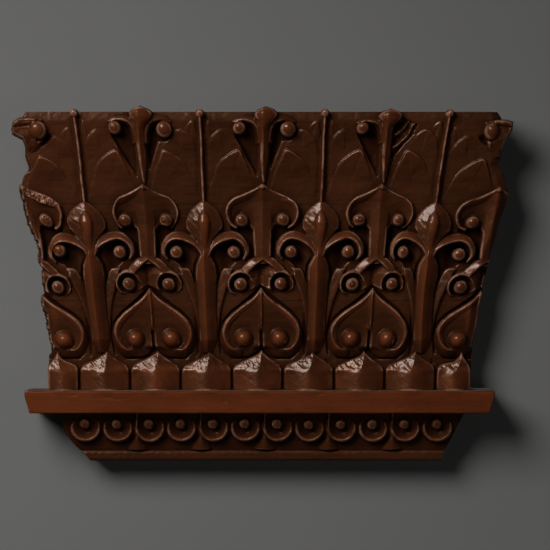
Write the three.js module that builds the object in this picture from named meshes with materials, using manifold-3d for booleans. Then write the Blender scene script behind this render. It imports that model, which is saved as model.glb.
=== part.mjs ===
// A carved hardwood wall panel in the shape of a flaring capital. Three edge-glued boards carry a fan of
// stems, scrolls and leaves. A plain rail stands under them, with a beaded frieze and a base fillet below.
// Millimetres, +Z up. The carving faces -Y and the flat back lies in the plane Y = 0.
// Heights are measured from the foot of the panel, and the group is lowered at the end so that its
// origin lies on the back face, where a wall holds the panel.
import * as THREE from "three";
import { mergeVertices } from "three/addons/utils/BufferGeometryUtils.js";
import Module from "manifold-3d";

const wasm = await Module();
wasm.setup();

// ---- Driving dimensions ----
const GAP = 0.3; // glue line or fitting clearance between neighbouring pieces
const MOUNT_HEIGHT = 230; // of the origin above the foot
const ROUND_SIDES = 8; // facets round a bead or a screw
const REACH = 300; // past the panel's edges, for shapes that are cut to size
const FRONT = 120; // past the carving

const BASE_TOP = 11;
const FRIEZE_TOP = 53.7;
const RAIL_TOP = 78;
const LOWER_TOP = 176;
const MIDDLE_TOP = 282;
const PANEL_TOP = 383;

const BELL_FOOT_DEPTH = 38; // from the back to the carved ground, just above the rail
const BELL_FLARE = 26; // how much further forward the ground stands at the top
const FRIEZE_DEPTH = { top: 46, foot: 32 };
const RAIL_DEPTH = 74;
const BASE_DEPTH = 38;

const FAN_FOOT = 115; // height where the fan of axes has its closest pitch
const FAN_PITCH = 58.5;
const FAN_SPREAD = 10; // growth of the pitch from the fan's foot to the panel's top

const BASE_LEAF = { pitch: 56.1, shift: -5.5, tip: 119, shoulder: 109 };
const CUP_PITCH = 35.1; // between neighbouring beads of the frieze
const CUP_BEAD_HEIGHT = 40.7;

const BATTEN = { x: 130, width: 60, depth: 15, low: 22, high: 362 };
const KEYHOLE_PLATE = { width: 20, height: 50, thickness: 2.5, z: 330 };

// How far each kind of carving stands out of the ground.
const RELIEF = { leaf: 3, band: 4, low: 8, middle: 11, high: 15, bead: 10 };

const WOOD = { color: 0x4a2516, roughness: 0.35, metalness: 0 };
const RAIL_WOOD = { color: 0x5e2c17, roughness: 0.4, metalness: 0 };
const BACK_WOOD = { color: 0x5b4630, roughness: 0.85, metalness: 0 };
const BRASS = { color: 0x8c6a34, roughness: 0.4, metalness: 0.9 };
const STEEL = { color: 0x6b665f, roughness: 0.45, metalness: 0.9 };

const panel = new THREE.Group();

// ---- Solids ----
function solid(geometry) {
  const bare = geometry.index ? geometry.toNonIndexed() : geometry.clone();
  bare.deleteAttribute("normal");
  bare.deleteAttribute("uv");
  const merged = mergeVertices(bare, 1e-4);
  return new wasm.Manifold(
    new wasm.Mesh({
      numProp: 3,
      vertProperties: new Float32Array(merged.attributes.position.array),
      triVerts: new Uint32Array(merged.index.array),
    }),
  );
}

function largestBody(shape) {
  return shape.decompose().reduce((best, body) => (body.volume() > best.volume() ? body : best));
}

function addNode(name, shape, finish) {
  const { vertProperties, triVerts } = largestBody(shape).getMesh();
  const geometry = new THREE.BufferGeometry();
  geometry.setAttribute("position", new THREE.BufferAttribute(vertProperties, 3));
  geometry.setIndex(new THREE.BufferAttribute(triVerts, 1));
  geometry.computeVertexNormals();
  const mesh = new THREE.Mesh(geometry, new THREE.MeshStandardMaterial(finish));
  mesh.name = name;
  panel.add(mesh);
}

function box(x, y, z) {
  const [width, depth, height] = [x, y, z].map(([low, high]) => high - low);
  const geometry = new THREE.BoxGeometry(width, depth, height);
  geometry.translate((x[0] + x[1]) / 2, (y[0] + y[1]) / 2, (z[0] + z[1]) / 2);
  return solid(geometry);
}

// A prism along Y whose outline is given as [x, z] points. It runs from the back to past the front.
function frontPrism(outline, front = FRONT) {
  const shape = new THREE.Shape(outline.map(([x, z]) => new THREE.Vector2(x, z)));
  const geometry = new THREE.ExtrudeGeometry(shape, { depth: front, bevelEnabled: false });
  geometry.rotateX(Math.PI / 2); // the outline's second axis becomes Z and the extrusion runs to -Y
  return solid(geometry);
}

// A prism along X whose outline is given as [depth, z] points.
function sidePrism(outline) {
  const shape = new THREE.Shape(outline.map(([depth, z]) => new THREE.Vector2(depth, z)));
  const geometry = new THREE.ExtrudeGeometry(shape, { depth: 2 * REACH, bevelEnabled: false });
  // The outline's first axis becomes -Y, its second becomes Z, and the extrusion runs to -X.
  geometry.applyMatrix4(new THREE.Matrix4().set(0, 0, -1, REACH, -1, 0, 0, 0, 0, 1, 0, 0, 0, 0, 0, 1));
  return solid(geometry);
}

// ---- The carved ground ----
function bellDepth(z) {
  const rise = Math.max(0, (z - RAIL_TOP) / (PANEL_TOP - RAIL_TOP));
  return BELL_FOOT_DEPTH + BELL_FLARE * rise * rise;
}

function friezeDepth(z) {
  const rise = (z - BASE_TOP) / (FRIEZE_TOP - BASE_TOP);
  return FRIEZE_DEPTH.foot + (FRIEZE_DEPTH.top - FRIEZE_DEPTH.foot) * rise;
}

// The layer between two offsets of a ground, as wide as the whole panel.
function layer(depthAt, heights, low, high) {
  const near = heights.map((z) => [depthAt(z) + low, z]);
  const far = heights.map((z) => [depthAt(z) + high, z]).reverse();
  return sidePrism([...near, ...far]);
}

const bellHeights = Array.from({ length: 8 }, (_, i) => RAIL_TOP + GAP + i * 45);
const friezeHeights = [BASE_TOP + GAP, FRIEZE_TOP];

// ---- Outlines of the carving, as [x, z] points ----
function fanX(unit, z) {
  const rise = (z - FAN_FOOT) / (PANEL_TOP - FAN_FOOT);
  return unit * (FAN_PITCH + FAN_SPREAD * rise);
}

// A ribbon that follows a curve, its half-width running from one value to another.
function ribbon(points, from, to, count = 7) {
  const spline = new THREE.SplineCurve(points.map(([x, z]) => new THREE.Vector2(x, z)));
  const left = [];
  const right = [];
  for (let i = 0; i <= count; i++) {
    const t = i / count;
    const at = spline.getPoint(t);
    const along = spline.getTangent(t);
    const half = from + (to - from) * t;
    left.push([at.x - along.y * half, at.y + along.x * half]);
    right.push([at.x + along.y * half, at.y - along.x * half]);
  }
  return [...left, ...right.reverse()];
}

// The whole outline of which only the +X half is given, from the top down.
function mirrored(half) {
  const other = half.filter(([x]) => x > 0).map(([x, z]) => [-x, z]);
  return [...half, ...other.reverse()];
}

// A narrow raised lip along an edge but for its tip, its inner line drawn in towards a centre.
function lip(edge, [centreX, centreZ]) {
  const outer = edge.slice(1);
  const inner = outer.map(([x, z]) => [x + (centreX - x) * 0.14, z + (centreZ - z) * 0.14]);
  return [...outer, ...inner.reverse()];
}

// An outline moved outwards by the fitting gap.
function grown(outline) {
  const count = outline.length;
  const turn = THREE.ShapeUtils.area(outline.map(([x, y]) => ({ x, y }))) > 0 ? 1 : -1;
  return outline.map((point, i) => {
    const before = outline[(i + count - 1) % count];
    const after = outline[(i + 1) % count];
    const along = new THREE.Vector2(after[0] - before[0], after[1] - before[1]).normalize();
    return [point[0] + along.y * turn * GAP * 1.3, point[1] - along.x * turn * GAP * 1.3];
  });
}

function disc(x, z, radius, sides = ROUND_SIDES) {
  return Array.from({ length: sides }, (_, i) => {
    const angle = (2 * Math.PI * i) / sides;
    return [x + radius * Math.cos(angle), z + radius * Math.sin(angle)];
  });
}

// ---- Ornaments ----
// An ornament is a list of pieces: flat carvings {outline, relief} and beads {x, z, radius}.
function ornamentSolid(pieces, depthAt, heights) {
  const parts = pieces.map((piece) => {
    if (piece.outline) {
      const raised = layer(depthAt, heights, GAP, piece.relief);
      return frontPrism(piece.outline).intersect(raised);
    }
    const ball = new THREE.SphereGeometry(piece.radius, ROUND_SIDES, 4);
    ball.translate(piece.x, -(depthAt(piece.z) + piece.relief), piece.z);
    return solid(ball).intersect(layer(depthAt, heights, GAP, FRONT));
  });
  return parts.reduce((all, part) => all.add(part));
}

function ornamentKeepout(pieces) {
  const outlines = pieces.map((p) => p.outline ?? disc(p.x, p.z, p.radius));
  return outlines.map((outline) => frontPrism(grown(outline))).reduce((all, part) => all.add(part));
}

const placed = []; // the keepouts of the ornaments made so far

function addOrnament(name, pieces, { depthAt = bellDepth, heights = bellHeights, within } = {}) {
  let shape = ornamentSolid(pieces, depthAt, heights);
  if (within) shape = shape.intersect(within);
  for (const keepout of placed) shape = shape.subtract(keepout);
  placed.push(ornamentKeepout(pieces));
  addNode(name, shape, WOOD);
}

// Places points given from an axis of the fan: side 1 is as given and side -1 is mirrored.
function onAxis(unit, points, side = 1) {
  return points.map(([dx, z]) => [fanX(unit, z) + side * dx, z]);
}

function beadAt(unit, side, dx, z, radius, relief = RELIEF.bead) {
  const [[x]] = onAxis(unit, [[dx, z]], side);
  return { x, z, radius, relief };
}

// The sides of a motif that lie on the panel: both, or only the inner one on the two edge axes.
function sidesOf(unit) {
  if (Math.abs(unit) < 4) return [-1, 1];
  return [-Math.sign(unit)];
}

function stem(unit) {
  const rib = mirrored([[0, 388], [3.5, 386.5], [5, 382], [3, 374], [2.6, 330], [2.4, 283]]);
  const bud = mirrored([[0, 287], [10, 280.3], [18, 271.5], [21.2, 262], [20, 255], [12, 248],
    [7, 237], [4.5, 226]]);
  const bulb = mirrored([[0, 276], [4, 272], [6.6, 264], [5.5, 253], [3, 238]]);
  const shaft = mirrored([[5, 231], [12, 216], [13, 205], [11.5, 165], [11, 112]]);
  const ridge = mirrored([[3, 231], [5, 205], [5, 112]]);
  const scroll = [[5, 229], [13, 240.5], [21.5, 246.5], [30, 248], [38, 243.5], [42, 236],
    [41, 228], [36, 224]];
  const eye = [[30, 247], [36, 243], [38, 236], [36, 229], [30, 227], [26, 231], [25, 240]];
  const flats = [
    { outline: onAxis(unit, rib), relief: RELIEF.middle },
    { outline: onAxis(unit, bud), relief: RELIEF.middle },
    { outline: onAxis(unit, bulb), relief: RELIEF.high + 4 },
    { outline: onAxis(unit, shaft), relief: RELIEF.low },
    { outline: onAxis(unit, ridge), relief: RELIEF.high },
  ];
  const scrolls = [-1, 1].flatMap((side) => [
    { outline: ribbon(onAxis(unit, scroll, side), 3, 1.8), relief: RELIEF.high },
    { outline: onAxis(unit, eye, side), relief: RELIEF.low },
    beadAt(unit, side, 31.5, 233, 6.4),
  ]);
  return [...flats, ...scrolls];
}

function crest(unit, broken) {
  const dome = mirrored([[0, 388], [6, 386.5], [10.5, 383], [12.4, 378], [8, 368], [6, 350],
    [4.5, 320], [2, 306]]);
  const scroll = [[4, 346], [6.5, 360], [9.5, 369], [15, 374.5], [23, 376], [31.5, 373],
    [36, 366], [34, 359]];
  const eye = [[14, 374], [30, 374], [36, 366], [33, 359], [24, 356], [15, 361]];
  const sides = sidesOf(unit).filter((side) => !(broken && side === 1));
  const scrolls = sides.flatMap((side) => [
    { outline: ribbon(onAxis(unit, scroll, side), 2.6, 1.6), relief: RELIEF.high },
    { outline: onAxis(unit, eye, side), relief: RELIEF.low },
    beadAt(unit, side, 25.5, 365, 7.6),
  ]);
  const stump = { outline: onAxis(unit, [[4, 340], [20, 352], [27, 366], [17, 374], [8, 366]]) };
  const splinter = broken ? [{ ...stump, relief: RELIEF.low }] : [];
  return [{ outline: onAxis(unit, dome), relief: RELIEF.high }, ...scrolls, ...splinter];
}

function cornerVolute(side) {
  const cap = [[238, 341], [257, 340], [261, 354], [271, 356], [274.5, 361], [274, 370],
    [268, 374.5], [250, 376], [240, 372]];
  return [
    { outline: cap.map(([x, z]) => [side * x, z]), relief: RELIEF.middle },
    { x: side * 250, z: 364, radius: 9, relief: RELIEF.bead },
  ];
}

function fanScroll(unit) {
  const edge = [[0, 303], [10, 296.5], [20.5, 291.5], [30.5, 288], [37.5, 282.5], [40.3, 274.5],
    [39, 266.5], [35, 260], [29, 257]];
  const foot = [[17, 258], [10, 252], [9.5, 240], [7, 226]];
  const ridge = mirrored([[0, 303], [3, 296], [3.4, 250], [2.6, 226]]);
  const sides = sidesOf(unit);
  const canopy = [...edge, ...foot];
  const whole = sides.length > 1 ? mirrored(canopy) : null;
  const half = [...canopy, [0, 226]];
  return [
    { outline: onAxis(unit, whole ?? half, sides[0]), relief: RELIEF.low },
    ...(whole ? [{ outline: onAxis(unit, ridge), relief: RELIEF.high }] : []),
    ...sides.flatMap((side) => [
      { outline: onAxis(unit, lip(edge, [18, 272]), side), relief: RELIEF.middle },
      beadAt(unit, side, 23.5, 265, 7),
    ]),
  ];
}

function archScroll(unit) {
  const spine = [[0, 218], [9, 216], [17, 210.5], [26, 206.5], [33, 201], [35.5, 193],
    [32, 184.5], [24, 181]];
  const eye = [[8, 214], [22, 208], [31, 201], [34, 193], [31, 185], [22, 181.5], [12, 188]];
  return sidesOf(unit).flatMap((side) => [
    { outline: ribbon(onAxis(unit, spine, side), 3.6, 1.8), relief: RELIEF.high },
    { outline: onAxis(unit, eye, side), relief: RELIEF.low },
    beadAt(unit, side, 22, 194, 6.4),
  ]);
}

function heartLeaf(unit) {
  const edge = [[0, 189], [5, 182], [11, 176], [20.5, 169.5], [30.5, 161.5], [38, 153],
    [41.3, 143], [40.5, 135], [36.3, 127.3], [30, 122.5]];
  const foot = [[22, 121], [12, 122.5], [4, 127]];
  const midrib = mirrored([[0, 189], [1.6, 182], [1.4, 152]]);
  const sides = sidesOf(unit);
  const whole = sides.length > 1 ? mirrored([...edge, ...foot]) : null;
  const half = [...edge, ...foot, [0, 127]];
  return [
    { outline: onAxis(unit, whole ?? half, sides[0]), relief: RELIEF.low },
    ...(whole ? [{ outline: onAxis(unit, midrib), relief: RELIEF.middle }] : []),
    ...sides.flatMap((side) => [
      { outline: onAxis(unit, lip(edge, [16, 145]), side), relief: RELIEF.middle },
      beadAt(unit, side, 20.5, 135.5, 9),
    ]),
  ];
}

function baseLeaf(left, right) {
  const middle = (left + right) / 2;
  const half = (right - left) / 2 - GAP;
  const arch = [[0, BASE_LEAF.tip], [half * 0.45, BASE_LEAF.tip - 5],
    [half * 0.85, BASE_LEAF.shoulder], [half, BASE_LEAF.shoulder - 6], [half, RAIL_TOP + GAP]];
  const swell = [[0, 112], [half * 0.45, 104], [half * 0.5, 90], [half * 0.42, RAIL_TOP + GAP]];
  const shifted = (points) => points.map(([x, z]) => [x + middle, z]);
  return [
    { outline: shifted(mirrored(arch)), relief: RELIEF.middle },
    { outline: shifted(mirrored(swell)), relief: RELIEF.high },
  ];
}

// Two U-shaped cups with their beads, either side of a tongue. An end pair has one cup only.
function friezeCups(unit, sides) {
  const spine = unit * 2 * CUP_PITCH;
  const cup = [[0, 52.5], [32, 52.5], [33, 38], [29, 28], [18, 22.5], [10, 26], [6, 17], [0, 12.5]];
  const low = cup.map(([dx, z]) => [spine + sides[0] * dx, z]);
  const both = mirrored(cup).map(([dx, z]) => [spine + dx, z]);
  const beads = sides.map((side) => ({
    x: spine + (side * CUP_PITCH) / 2,
    z: CUP_BEAD_HEIGHT,
    radius: 6.2,
    relief: 6,
  }));
  return [{ outline: sides.length > 1 ? both : low, relief: 5 }, ...beads];
}

// ---- Plain silhouettes ----
// The left edge is broken and worn, and the right edge is sawn.
const bodyOutline = [
  [229, 70], [231, 110], [236, 150], [243, 200], [252, 245], [262, 280], [266, 300], [257, 312],
  [255, 335], [258, PANEL_TOP],
  [-259, PANEL_TOP], [-254, 340], [-257, 312], [-264, 302], [-262, 288], [-256, 260], [-244, 232],
  [-243.5, 185], [-239, 150], [-236, 110], [-237, 70],
];
const friezeOutline = [
  [222, FRIEZE_TOP], [-220, FRIEZE_TOP], [-217, 40], [-208, 26], [-196, BASE_TOP + GAP],
  [201, BASE_TOP + GAP],
];
const railOutline = [
  [-259, RAIL_TOP], [-259, 73], [-253.5, FRIEZE_TOP + GAP], [249.5, FRIEZE_TOP + GAP],
  [255, 71], [255, RAIL_TOP],
];
const baseOutline = [[198, BASE_TOP], [-192, BASE_TOP], [-192, 3], [-190, 0], [197, 0], [198, 3]];

const bodyPrism = frontPrism(bodyOutline);
const edgePrism = frontPrism(grown(grown(grown(bodyOutline))));
const friezePrism = frontPrism(friezeOutline);

// ---- Carving ----
for (let i = 0; i < 9; i++) {
  const leftEnd = BASE_LEAF.shift + BASE_LEAF.pitch * (i - 4.5);
  const left = Math.max(leftEnd, -236);
  const right = Math.min(leftEnd + BASE_LEAF.pitch, 229);
  addOrnament(`base_leaf_${i + 1}`, baseLeaf(left, right), { within: edgePrism });
}
[-3, -1, 1, 3].forEach((unit, i) => addOrnament(`stem_${i + 1}`, stem(unit)));
[-2, 0, 2].forEach((unit, i) => addOrnament(`crest_${i + 1}`, crest(unit, unit === 2)));
addOrnament("corner_volute_left", cornerVolute(-1));
addOrnament("corner_volute_right", cornerVolute(1));
const evenAxes = [-4, -2, 0, 2, 4];
evenAxes.forEach((unit, i) => {
  addOrnament(`fan_scroll_${i + 1}`, fanScroll(unit), { within: edgePrism });
});
evenAxes.forEach((unit, i) => {
  addOrnament(`arch_scroll_${i + 1}`, archScroll(unit), { within: edgePrism });
});
evenAxes.forEach((unit, i) => {
  addOrnament(`heart_leaf_${i + 1}`, heartLeaf(unit), { within: edgePrism });
});
const onFrieze = { depthAt: friezeDepth, heights: friezeHeights, within: friezePrism };
[-3, -2, -1, 0, 1, 2, 3].forEach((unit, i) => {
  const sides = Math.abs(unit) < 3 ? [-1, 1] : [-Math.sign(unit)];
  addOrnament(`frieze_cups_${i + 1}`, friezeCups(unit, sides), onFrieze);
});

// ---- Back battens, keyhole plates and screws ----
// A countersunk wood screw driven in from the back, its head flush with the plane Y = y.
function screw(x, y, z, headRadius, length, clearance = 0) {
  const shank = headRadius * 0.45;
  const profile = [
    [0, 0],
    [headRadius, 0],
    [shank, headRadius - shank],
    [shank, length - 2 * shank],
    [0, length],
  ].map(([radius, depth]) => {
    const r = radius > 0 ? radius + clearance : 0;
    return new THREE.Vector2(r, depth > 0 ? -depth - (depth === length ? clearance : 0) : 0);
  });
  const geometry = new THREE.LatheGeometry(profile.reverse(), ROUND_SIDES);
  geometry.translate(x, y, z);
  return solid(geometry);
}

// Past the back face, so that a hole opens cleanly.
function screwHole(x, y, z, headRadius, length) {
  const mouth = new THREE.CylinderGeometry(headRadius + GAP, headRadius + GAP, 4, ROUND_SIDES);
  mouth.translate(x, y + 2, z);
  return screw(x, y, z, headRadius, length, GAP).add(solid(mouth));
}

function slotted(shape, x, y, z, headRadius) {
  return shape.subtract(box([x - headRadius - 1, x + headRadius + 1], [y - 1, y + 1], [z - 0.6, z + 0.6]));
}

const BATTEN_SCREW = { radius: 4.5, length: 32, heights: [36, 130, 293] };
const PLATE_SCREW = { radius: 3, length: 13, offset: 20 };

const sidesNamed = [["left", -1], ["right", 1]];
const backCuts = [];
for (const [sideName, side] of sidesNamed) {
  const x = side * BATTEN.x;
  const half = BATTEN.width / 2;
  const batten = box([x - half, x + half], [-BATTEN.depth, 0], [BATTEN.low, BATTEN.high]);
  const channel = box(
    [x - half - GAP, x + half + GAP],
    [-BATTEN.depth - GAP, 1],
    [BATTEN.low - GAP, BATTEN.high + GAP],
  );

  const { width, height, thickness, z } = KEYHOLE_PLATE;
  const recess = box(
    [x - width / 2 - GAP, x + width / 2 + GAP],
    [-thickness - GAP, 1],
    [z - height / 2 - GAP, z + height / 2 + GAP],
  );
  const pocket = box([x - 6, x + 6], [-11, 1], [z - 12, z + 10]);
  const keyhole = frontPrism(disc(x, z - 4, 4.8), 20)
    .add(box([x - 2.4, x + 2.4], [-20, 0], [z - 4, z + 8]));
  const blank = box([x - width / 2, x + width / 2], [-thickness, 0], [z - height / 2, z + height / 2]);

  let plate = blank.subtract(keyhole.translate(0, 5, 0));
  let finished = batten.subtract(recess).subtract(pocket);
  for (const [i, sign] of [-1, 1].entries()) {
    const at = [x, 0, z + sign * PLATE_SCREW.offset, PLATE_SCREW.radius];
    plate = plate.subtract(screwHole(...at, PLATE_SCREW.length));
    finished = finished.subtract(screwHole(...at, PLATE_SCREW.length));
    const driven = slotted(screw(...at, PLATE_SCREW.length), ...at);
    addNode(`plate_screw_${sideName}_${i + 1}`, driven, BRASS);
  }
  BATTEN_SCREW.heights.forEach((screwZ, i) => {
    const at = [x, 0, screwZ, BATTEN_SCREW.radius];
    finished = finished.subtract(screwHole(...at, BATTEN_SCREW.length));
    backCuts.push(screwHole(...at, BATTEN_SCREW.length));
    const driven = slotted(screw(...at, BATTEN_SCREW.length), ...at);
    addNode(`batten_screw_${sideName}_${i + 1}`, driven, STEEL);
  });
  addNode(`back_batten_${sideName}`, finished, BACK_WOOD);
  addNode(`keyhole_plate_${sideName}`, plate, BRASS);
  backCuts.push(channel);
}

function addBoard(name, shape, finish) {
  const cut = backCuts.reduce((rest, tool) => rest.subtract(tool), shape);
  addNode(name, cut, finish);
}

// ---- Boards ----
// The tall leaves behind the stems and the bands beside the hearts are cut in the boards themselves.
function groundCarving() {
  const lobes = [
    [[0, 381], [9, 374], [17, 362], [13, 345], [6, 330], [0, 326]],
    [[0, 352], [20, 366], [26, 362], [22, 345], [14, 325], [0, 318]],
    [[0, 330], [26, 345], [39, 341], [46, 322], [50, 300], [38, 290], [20, 286], [0, 292]],
  ];
  const bandSpine = [[37, 199], [43, 180], [47.5, 160], [49, 140], [48, 124]];
  const carving = [];
  for (const unit of [-3, -1, 1, 3]) {
    lobes.forEach((lobe, i) => {
      const raised = layer(bellDepth, bellHeights, -3, RELIEF.leaf + i * 1.2);
      carving.push(frontPrism(onAxis(unit, mirrored(lobe))).intersect(raised));
    });
  }
  for (const unit of evenAxes) {
    for (const side of sidesOf(unit)) {
      const raised = layer(bellDepth, bellHeights, -3, RELIEF.band);
      carving.push(frontPrism(ribbon(onAxis(unit, bandSpine, side), 2, 1.6, 5)).intersect(raised));
    }
  }
  return placed.reduce(
    (rest, keepout) => rest.subtract(keepout),
    carving.reduce((all, part) => all.add(part)),
  );
}

const bellBlock = sidePrism([[0, RAIL_TOP], ...bellHeights.map((z) => [bellDepth(z), z]), [0, 393]]);
const carvedBlock = bellBlock.add(groundCarving()).intersect(bodyPrism);
const boards = [
  ["lower_board", RAIL_TOP + GAP, LOWER_TOP],
  ["middle_board", LOWER_TOP + GAP, MIDDLE_TOP],
  ["upper_board", MIDDLE_TOP + GAP, PANEL_TOP],
];
for (const [name, low, high] of boards) {
  addBoard(name, carvedBlock.intersect(box([-REACH, REACH], [-FRONT, 0], [low, high])), WOOD);
}

const railProfile = [
  [0, FRIEZE_TOP + GAP], [RAIL_DEPTH - 1.5, FRIEZE_TOP + GAP], [RAIL_DEPTH, FRIEZE_TOP + 2],
  [RAIL_DEPTH, RAIL_TOP - 2], [RAIL_DEPTH - 2, RAIL_TOP], [0, RAIL_TOP],
];
addBoard("rail", sidePrism(railProfile).intersect(frontPrism(railOutline)), RAIL_WOOD);

const friezeProfile = [
  [0, BASE_TOP + GAP], [friezeDepth(BASE_TOP + GAP), BASE_TOP + GAP],
  [friezeDepth(FRIEZE_TOP), FRIEZE_TOP], [0, FRIEZE_TOP],
];
addBoard("frieze_board", sidePrism(friezeProfile).intersect(friezePrism), WOOD);

const baseNose = Array.from({ length: 6 }, (_, i) => {
  const angle = (Math.PI / 2) * (i / 5);
  return [BASE_DEPTH - 6 + 6 * Math.cos(angle), BASE_TOP - 6 + 6 * Math.sin(angle)];
});
const baseProfile = [[0, 0], [BASE_DEPTH - 3, 0], [BASE_DEPTH, 3], ...baseNose, [0, BASE_TOP]];
addBoard("base_fillet", sidePrism(baseProfile).intersect(frontPrism(baseOutline)), WOOD);

panel.position.z = -MOUNT_HEIGHT;

export default panel;
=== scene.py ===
"""Looks for the carved wall panel.

The carving is worked out as depth maps: how far forward of the flat back the wood stands at each point
of the front. The boards and each ornament take their surface from those maps, every CAD node keeping
its own object. Carving measures are in millimetres, heights from the foot of the panel, and are turned
into metres in the shared frame when a mesh is made.
"""

import math

import bpy
import numpy as np
from mathutils import Matrix, Vector


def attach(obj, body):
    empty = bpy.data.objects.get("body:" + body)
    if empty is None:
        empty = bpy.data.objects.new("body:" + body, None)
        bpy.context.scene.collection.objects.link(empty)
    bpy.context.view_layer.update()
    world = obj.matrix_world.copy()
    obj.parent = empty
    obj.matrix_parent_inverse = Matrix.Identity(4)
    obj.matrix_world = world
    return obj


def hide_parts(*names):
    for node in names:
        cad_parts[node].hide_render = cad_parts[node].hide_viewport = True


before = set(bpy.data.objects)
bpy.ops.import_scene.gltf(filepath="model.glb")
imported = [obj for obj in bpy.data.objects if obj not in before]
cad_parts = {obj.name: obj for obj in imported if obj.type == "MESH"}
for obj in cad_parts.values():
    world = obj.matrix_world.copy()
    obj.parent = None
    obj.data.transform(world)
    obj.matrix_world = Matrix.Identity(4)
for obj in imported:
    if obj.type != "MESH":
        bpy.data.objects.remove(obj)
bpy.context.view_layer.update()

# ---- Driving dimensions, in millimetres ----
MM = 0.001
MOUNT_HEIGHT = 230.0  # of the frame's origin above the foot
STEP = 0.5  # between samples of the depth maps
BOARD_STEP = 0.85  # between points of a board's front
GAP = 0.3  # glue line between neighbouring boards

BASE_TOP, FRIEZE_TOP, RAIL_TOP = 11.0, 53.7, 78.0
LOWER_TOP, MIDDLE_TOP, PANEL_TOP = 176.0, 282.0, 383.0  # of the three carved boards
BASE_DEPTH, RAIL_DEPTH = 38.0, 74.0
BELL_DEPTH, BELL_FLARE = 38.0, 26.0  # the ground just above the rail, and how much deeper it is at the top
FRIEZE_DEPTH, FRIEZE_FLARE = 34.5, 14.5
FAN_PITCH, FAN_SPREAD, FAN_FOOT = 58.5, 10.0, 115.0  # between axes at the fan's foot, and its growth above

BATTEN_X, BATTEN_WIDTH, BATTEN_DEPTH = 130.0, 60.0, 15.0
BATTEN_LOW, BATTEN_HIGH = 22.0, 362.0

CUP_PITCH = 35.1  # between neighbouring cups of the frieze
BASE_PITCH, BASE_SHIFT = 56.1, -5.5  # between base leaves, and how far their middle is from the panel's
GROUND_SPLIT = 65.0  # hidden behind the rail: the frieze's ground is below it, the body's above
NOTHING = -14.0  # a height so far below the ground that nothing of an ornament is left there


def bell_depth(z):
    rise = over((z - RAIL_TOP) / (PANEL_TOP - RAIL_TOP))
    return BELL_DEPTH + BELL_FLARE * rise**2


def frieze_depth(z):
    return FRIEZE_DEPTH + FRIEZE_FLARE * (z - BASE_TOP) / (FRIEZE_TOP - BASE_TOP)


def fan_x(unit, z):
    """The x of an axis of the fan at height z. The axes spread towards the top."""
    return unit * (FAN_PITCH + FAN_SPREAD * (z - FAN_FOOT) / (PANEL_TOP - FAN_FOOT))


# ---- Numbers on grids ----
def smooth(t):
    t = np.clip(t, 0, 1)
    return t * t * (3 - 2 * t)


def soft_max(a, b, width):
    h = np.clip(0.5 + 0.5 * (a - b) / width, 0, 1)
    return b + (a - b) * h + width * h * (1 - h)


def over(value):
    """The value where it is above zero, and zero elsewhere."""
    return np.clip(value, 0, None)


def knots(value, *pairs):
    """Straight-line interpolation through (position, value) pairs."""
    at, values = zip(*pairs)
    return np.interp(value, at, values)


def noise(x, z, cell, seed):
    """Smooth noise from -1 to 1 whose bumps are about one cell wide."""
    lattice = np.random.default_rng(seed).uniform(-1, 1, (256, 256))
    u, v = x / cell + 90.37, z / cell + 90.71
    i, j = np.floor(u).astype(int), np.floor(v).astype(int)
    fu, fv = smooth(u - i), smooth(v - j)
    i, j, i1, j1 = i % 256, j % 256, (i + 1) % 256, (j + 1) % 256
    low = lattice[i, j] * (1 - fu) + lattice[i1, j] * fu
    high = lattice[i, j1] * (1 - fu) + lattice[i1, j1] * fu
    return low * (1 - fv) + high * fv


def texture(x, z, seed, *layers):
    """Noises added up, each layer given as (strength, cell). The seeds count up from the first one."""
    return sum(strength * noise(x, z, cell, seed + k) for k, (strength, cell) in enumerate(layers))


def eased(distance, radius):
    """How far a rounded edge has fallen away at a distance from it."""
    return radius * (1 - np.sqrt(np.clip(1 - np.clip(1 - distance / radius, 0, 1) ** 2, 0, 1)))


def blur(values, radius):
    """Three box blurs, which come close to a Gaussian. The radius is in samples."""
    size = max(1, int(radius))
    for _ in range(3):
        for axis in (0, 1):
            pad = [(size + 1, size) if k == axis else (0, 0) for k in (0, 1)]
            total = np.cumsum(np.pad(values, pad, mode="edge"), axis=axis)
            ahead = np.take(total, range(2 * size + 1, total.shape[axis]), axis=axis)
            behind = np.take(total, range(0, total.shape[axis] - 2 * size - 1), axis=axis)
            values = (ahead - behind) / (2 * size + 1)
    return values


def curve(points, per_span=5):
    """Points along a smooth curve through the given ones."""
    p = np.array(points, float)
    p = np.vstack([2 * p[0] - p[1], p, 2 * p[-1] - p[-2]])
    samples = []
    for a, b, c, d in zip(p[:-3], p[1:-2], p[2:-1], p[3:]):
        for t in np.arange(per_span) / per_span:
            turn = (2 * a - 5 * b + 4 * c - d) * t**2 + (3 * b - a - 3 * c + d) * t**3
            samples.append(b + ((c - a) * t + turn) / 2)
    samples.append(p[-2])
    return np.array(samples)


def mirrored(half):
    """The closed outline of which only the +x half is given, from the top down."""
    other = [(-x, z) for x, z in half if x > 0]
    return list(half) + other[::-1]


def nearest(x, z, line):
    """Distance to a line, which side of it (+1 left, -1 right), and how far along it, 0 to 1."""
    x, z = np.broadcast_arrays(x, z)
    best = np.full(x.shape, 1e9)
    side = np.zeros(x.shape)
    along = np.zeros(x.shape)
    spans = np.diff(line, axis=0)
    lengths = np.hypot(spans[:, 0], spans[:, 1])
    run = 0.0
    for (px, pz), (ex, ez), length in zip(line[:-1], spans, lengths):
        dx, dz = x - px, z - pz
        u = np.clip((dx * ex + dz * ez) / length**2, 0, 1)
        rx, rz = dx - u * ex, dz - u * ez
        far = rx * rx + rz * rz
        closer = far < best
        best = np.where(closer, far, best)
        side = np.where(closer, ex * dz - ez * dx, side)
        along = np.where(closer, run + u * length, along)
        run += length
    return np.sqrt(best), np.where(side >= 0, 1.0, -1.0), along / run


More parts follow.
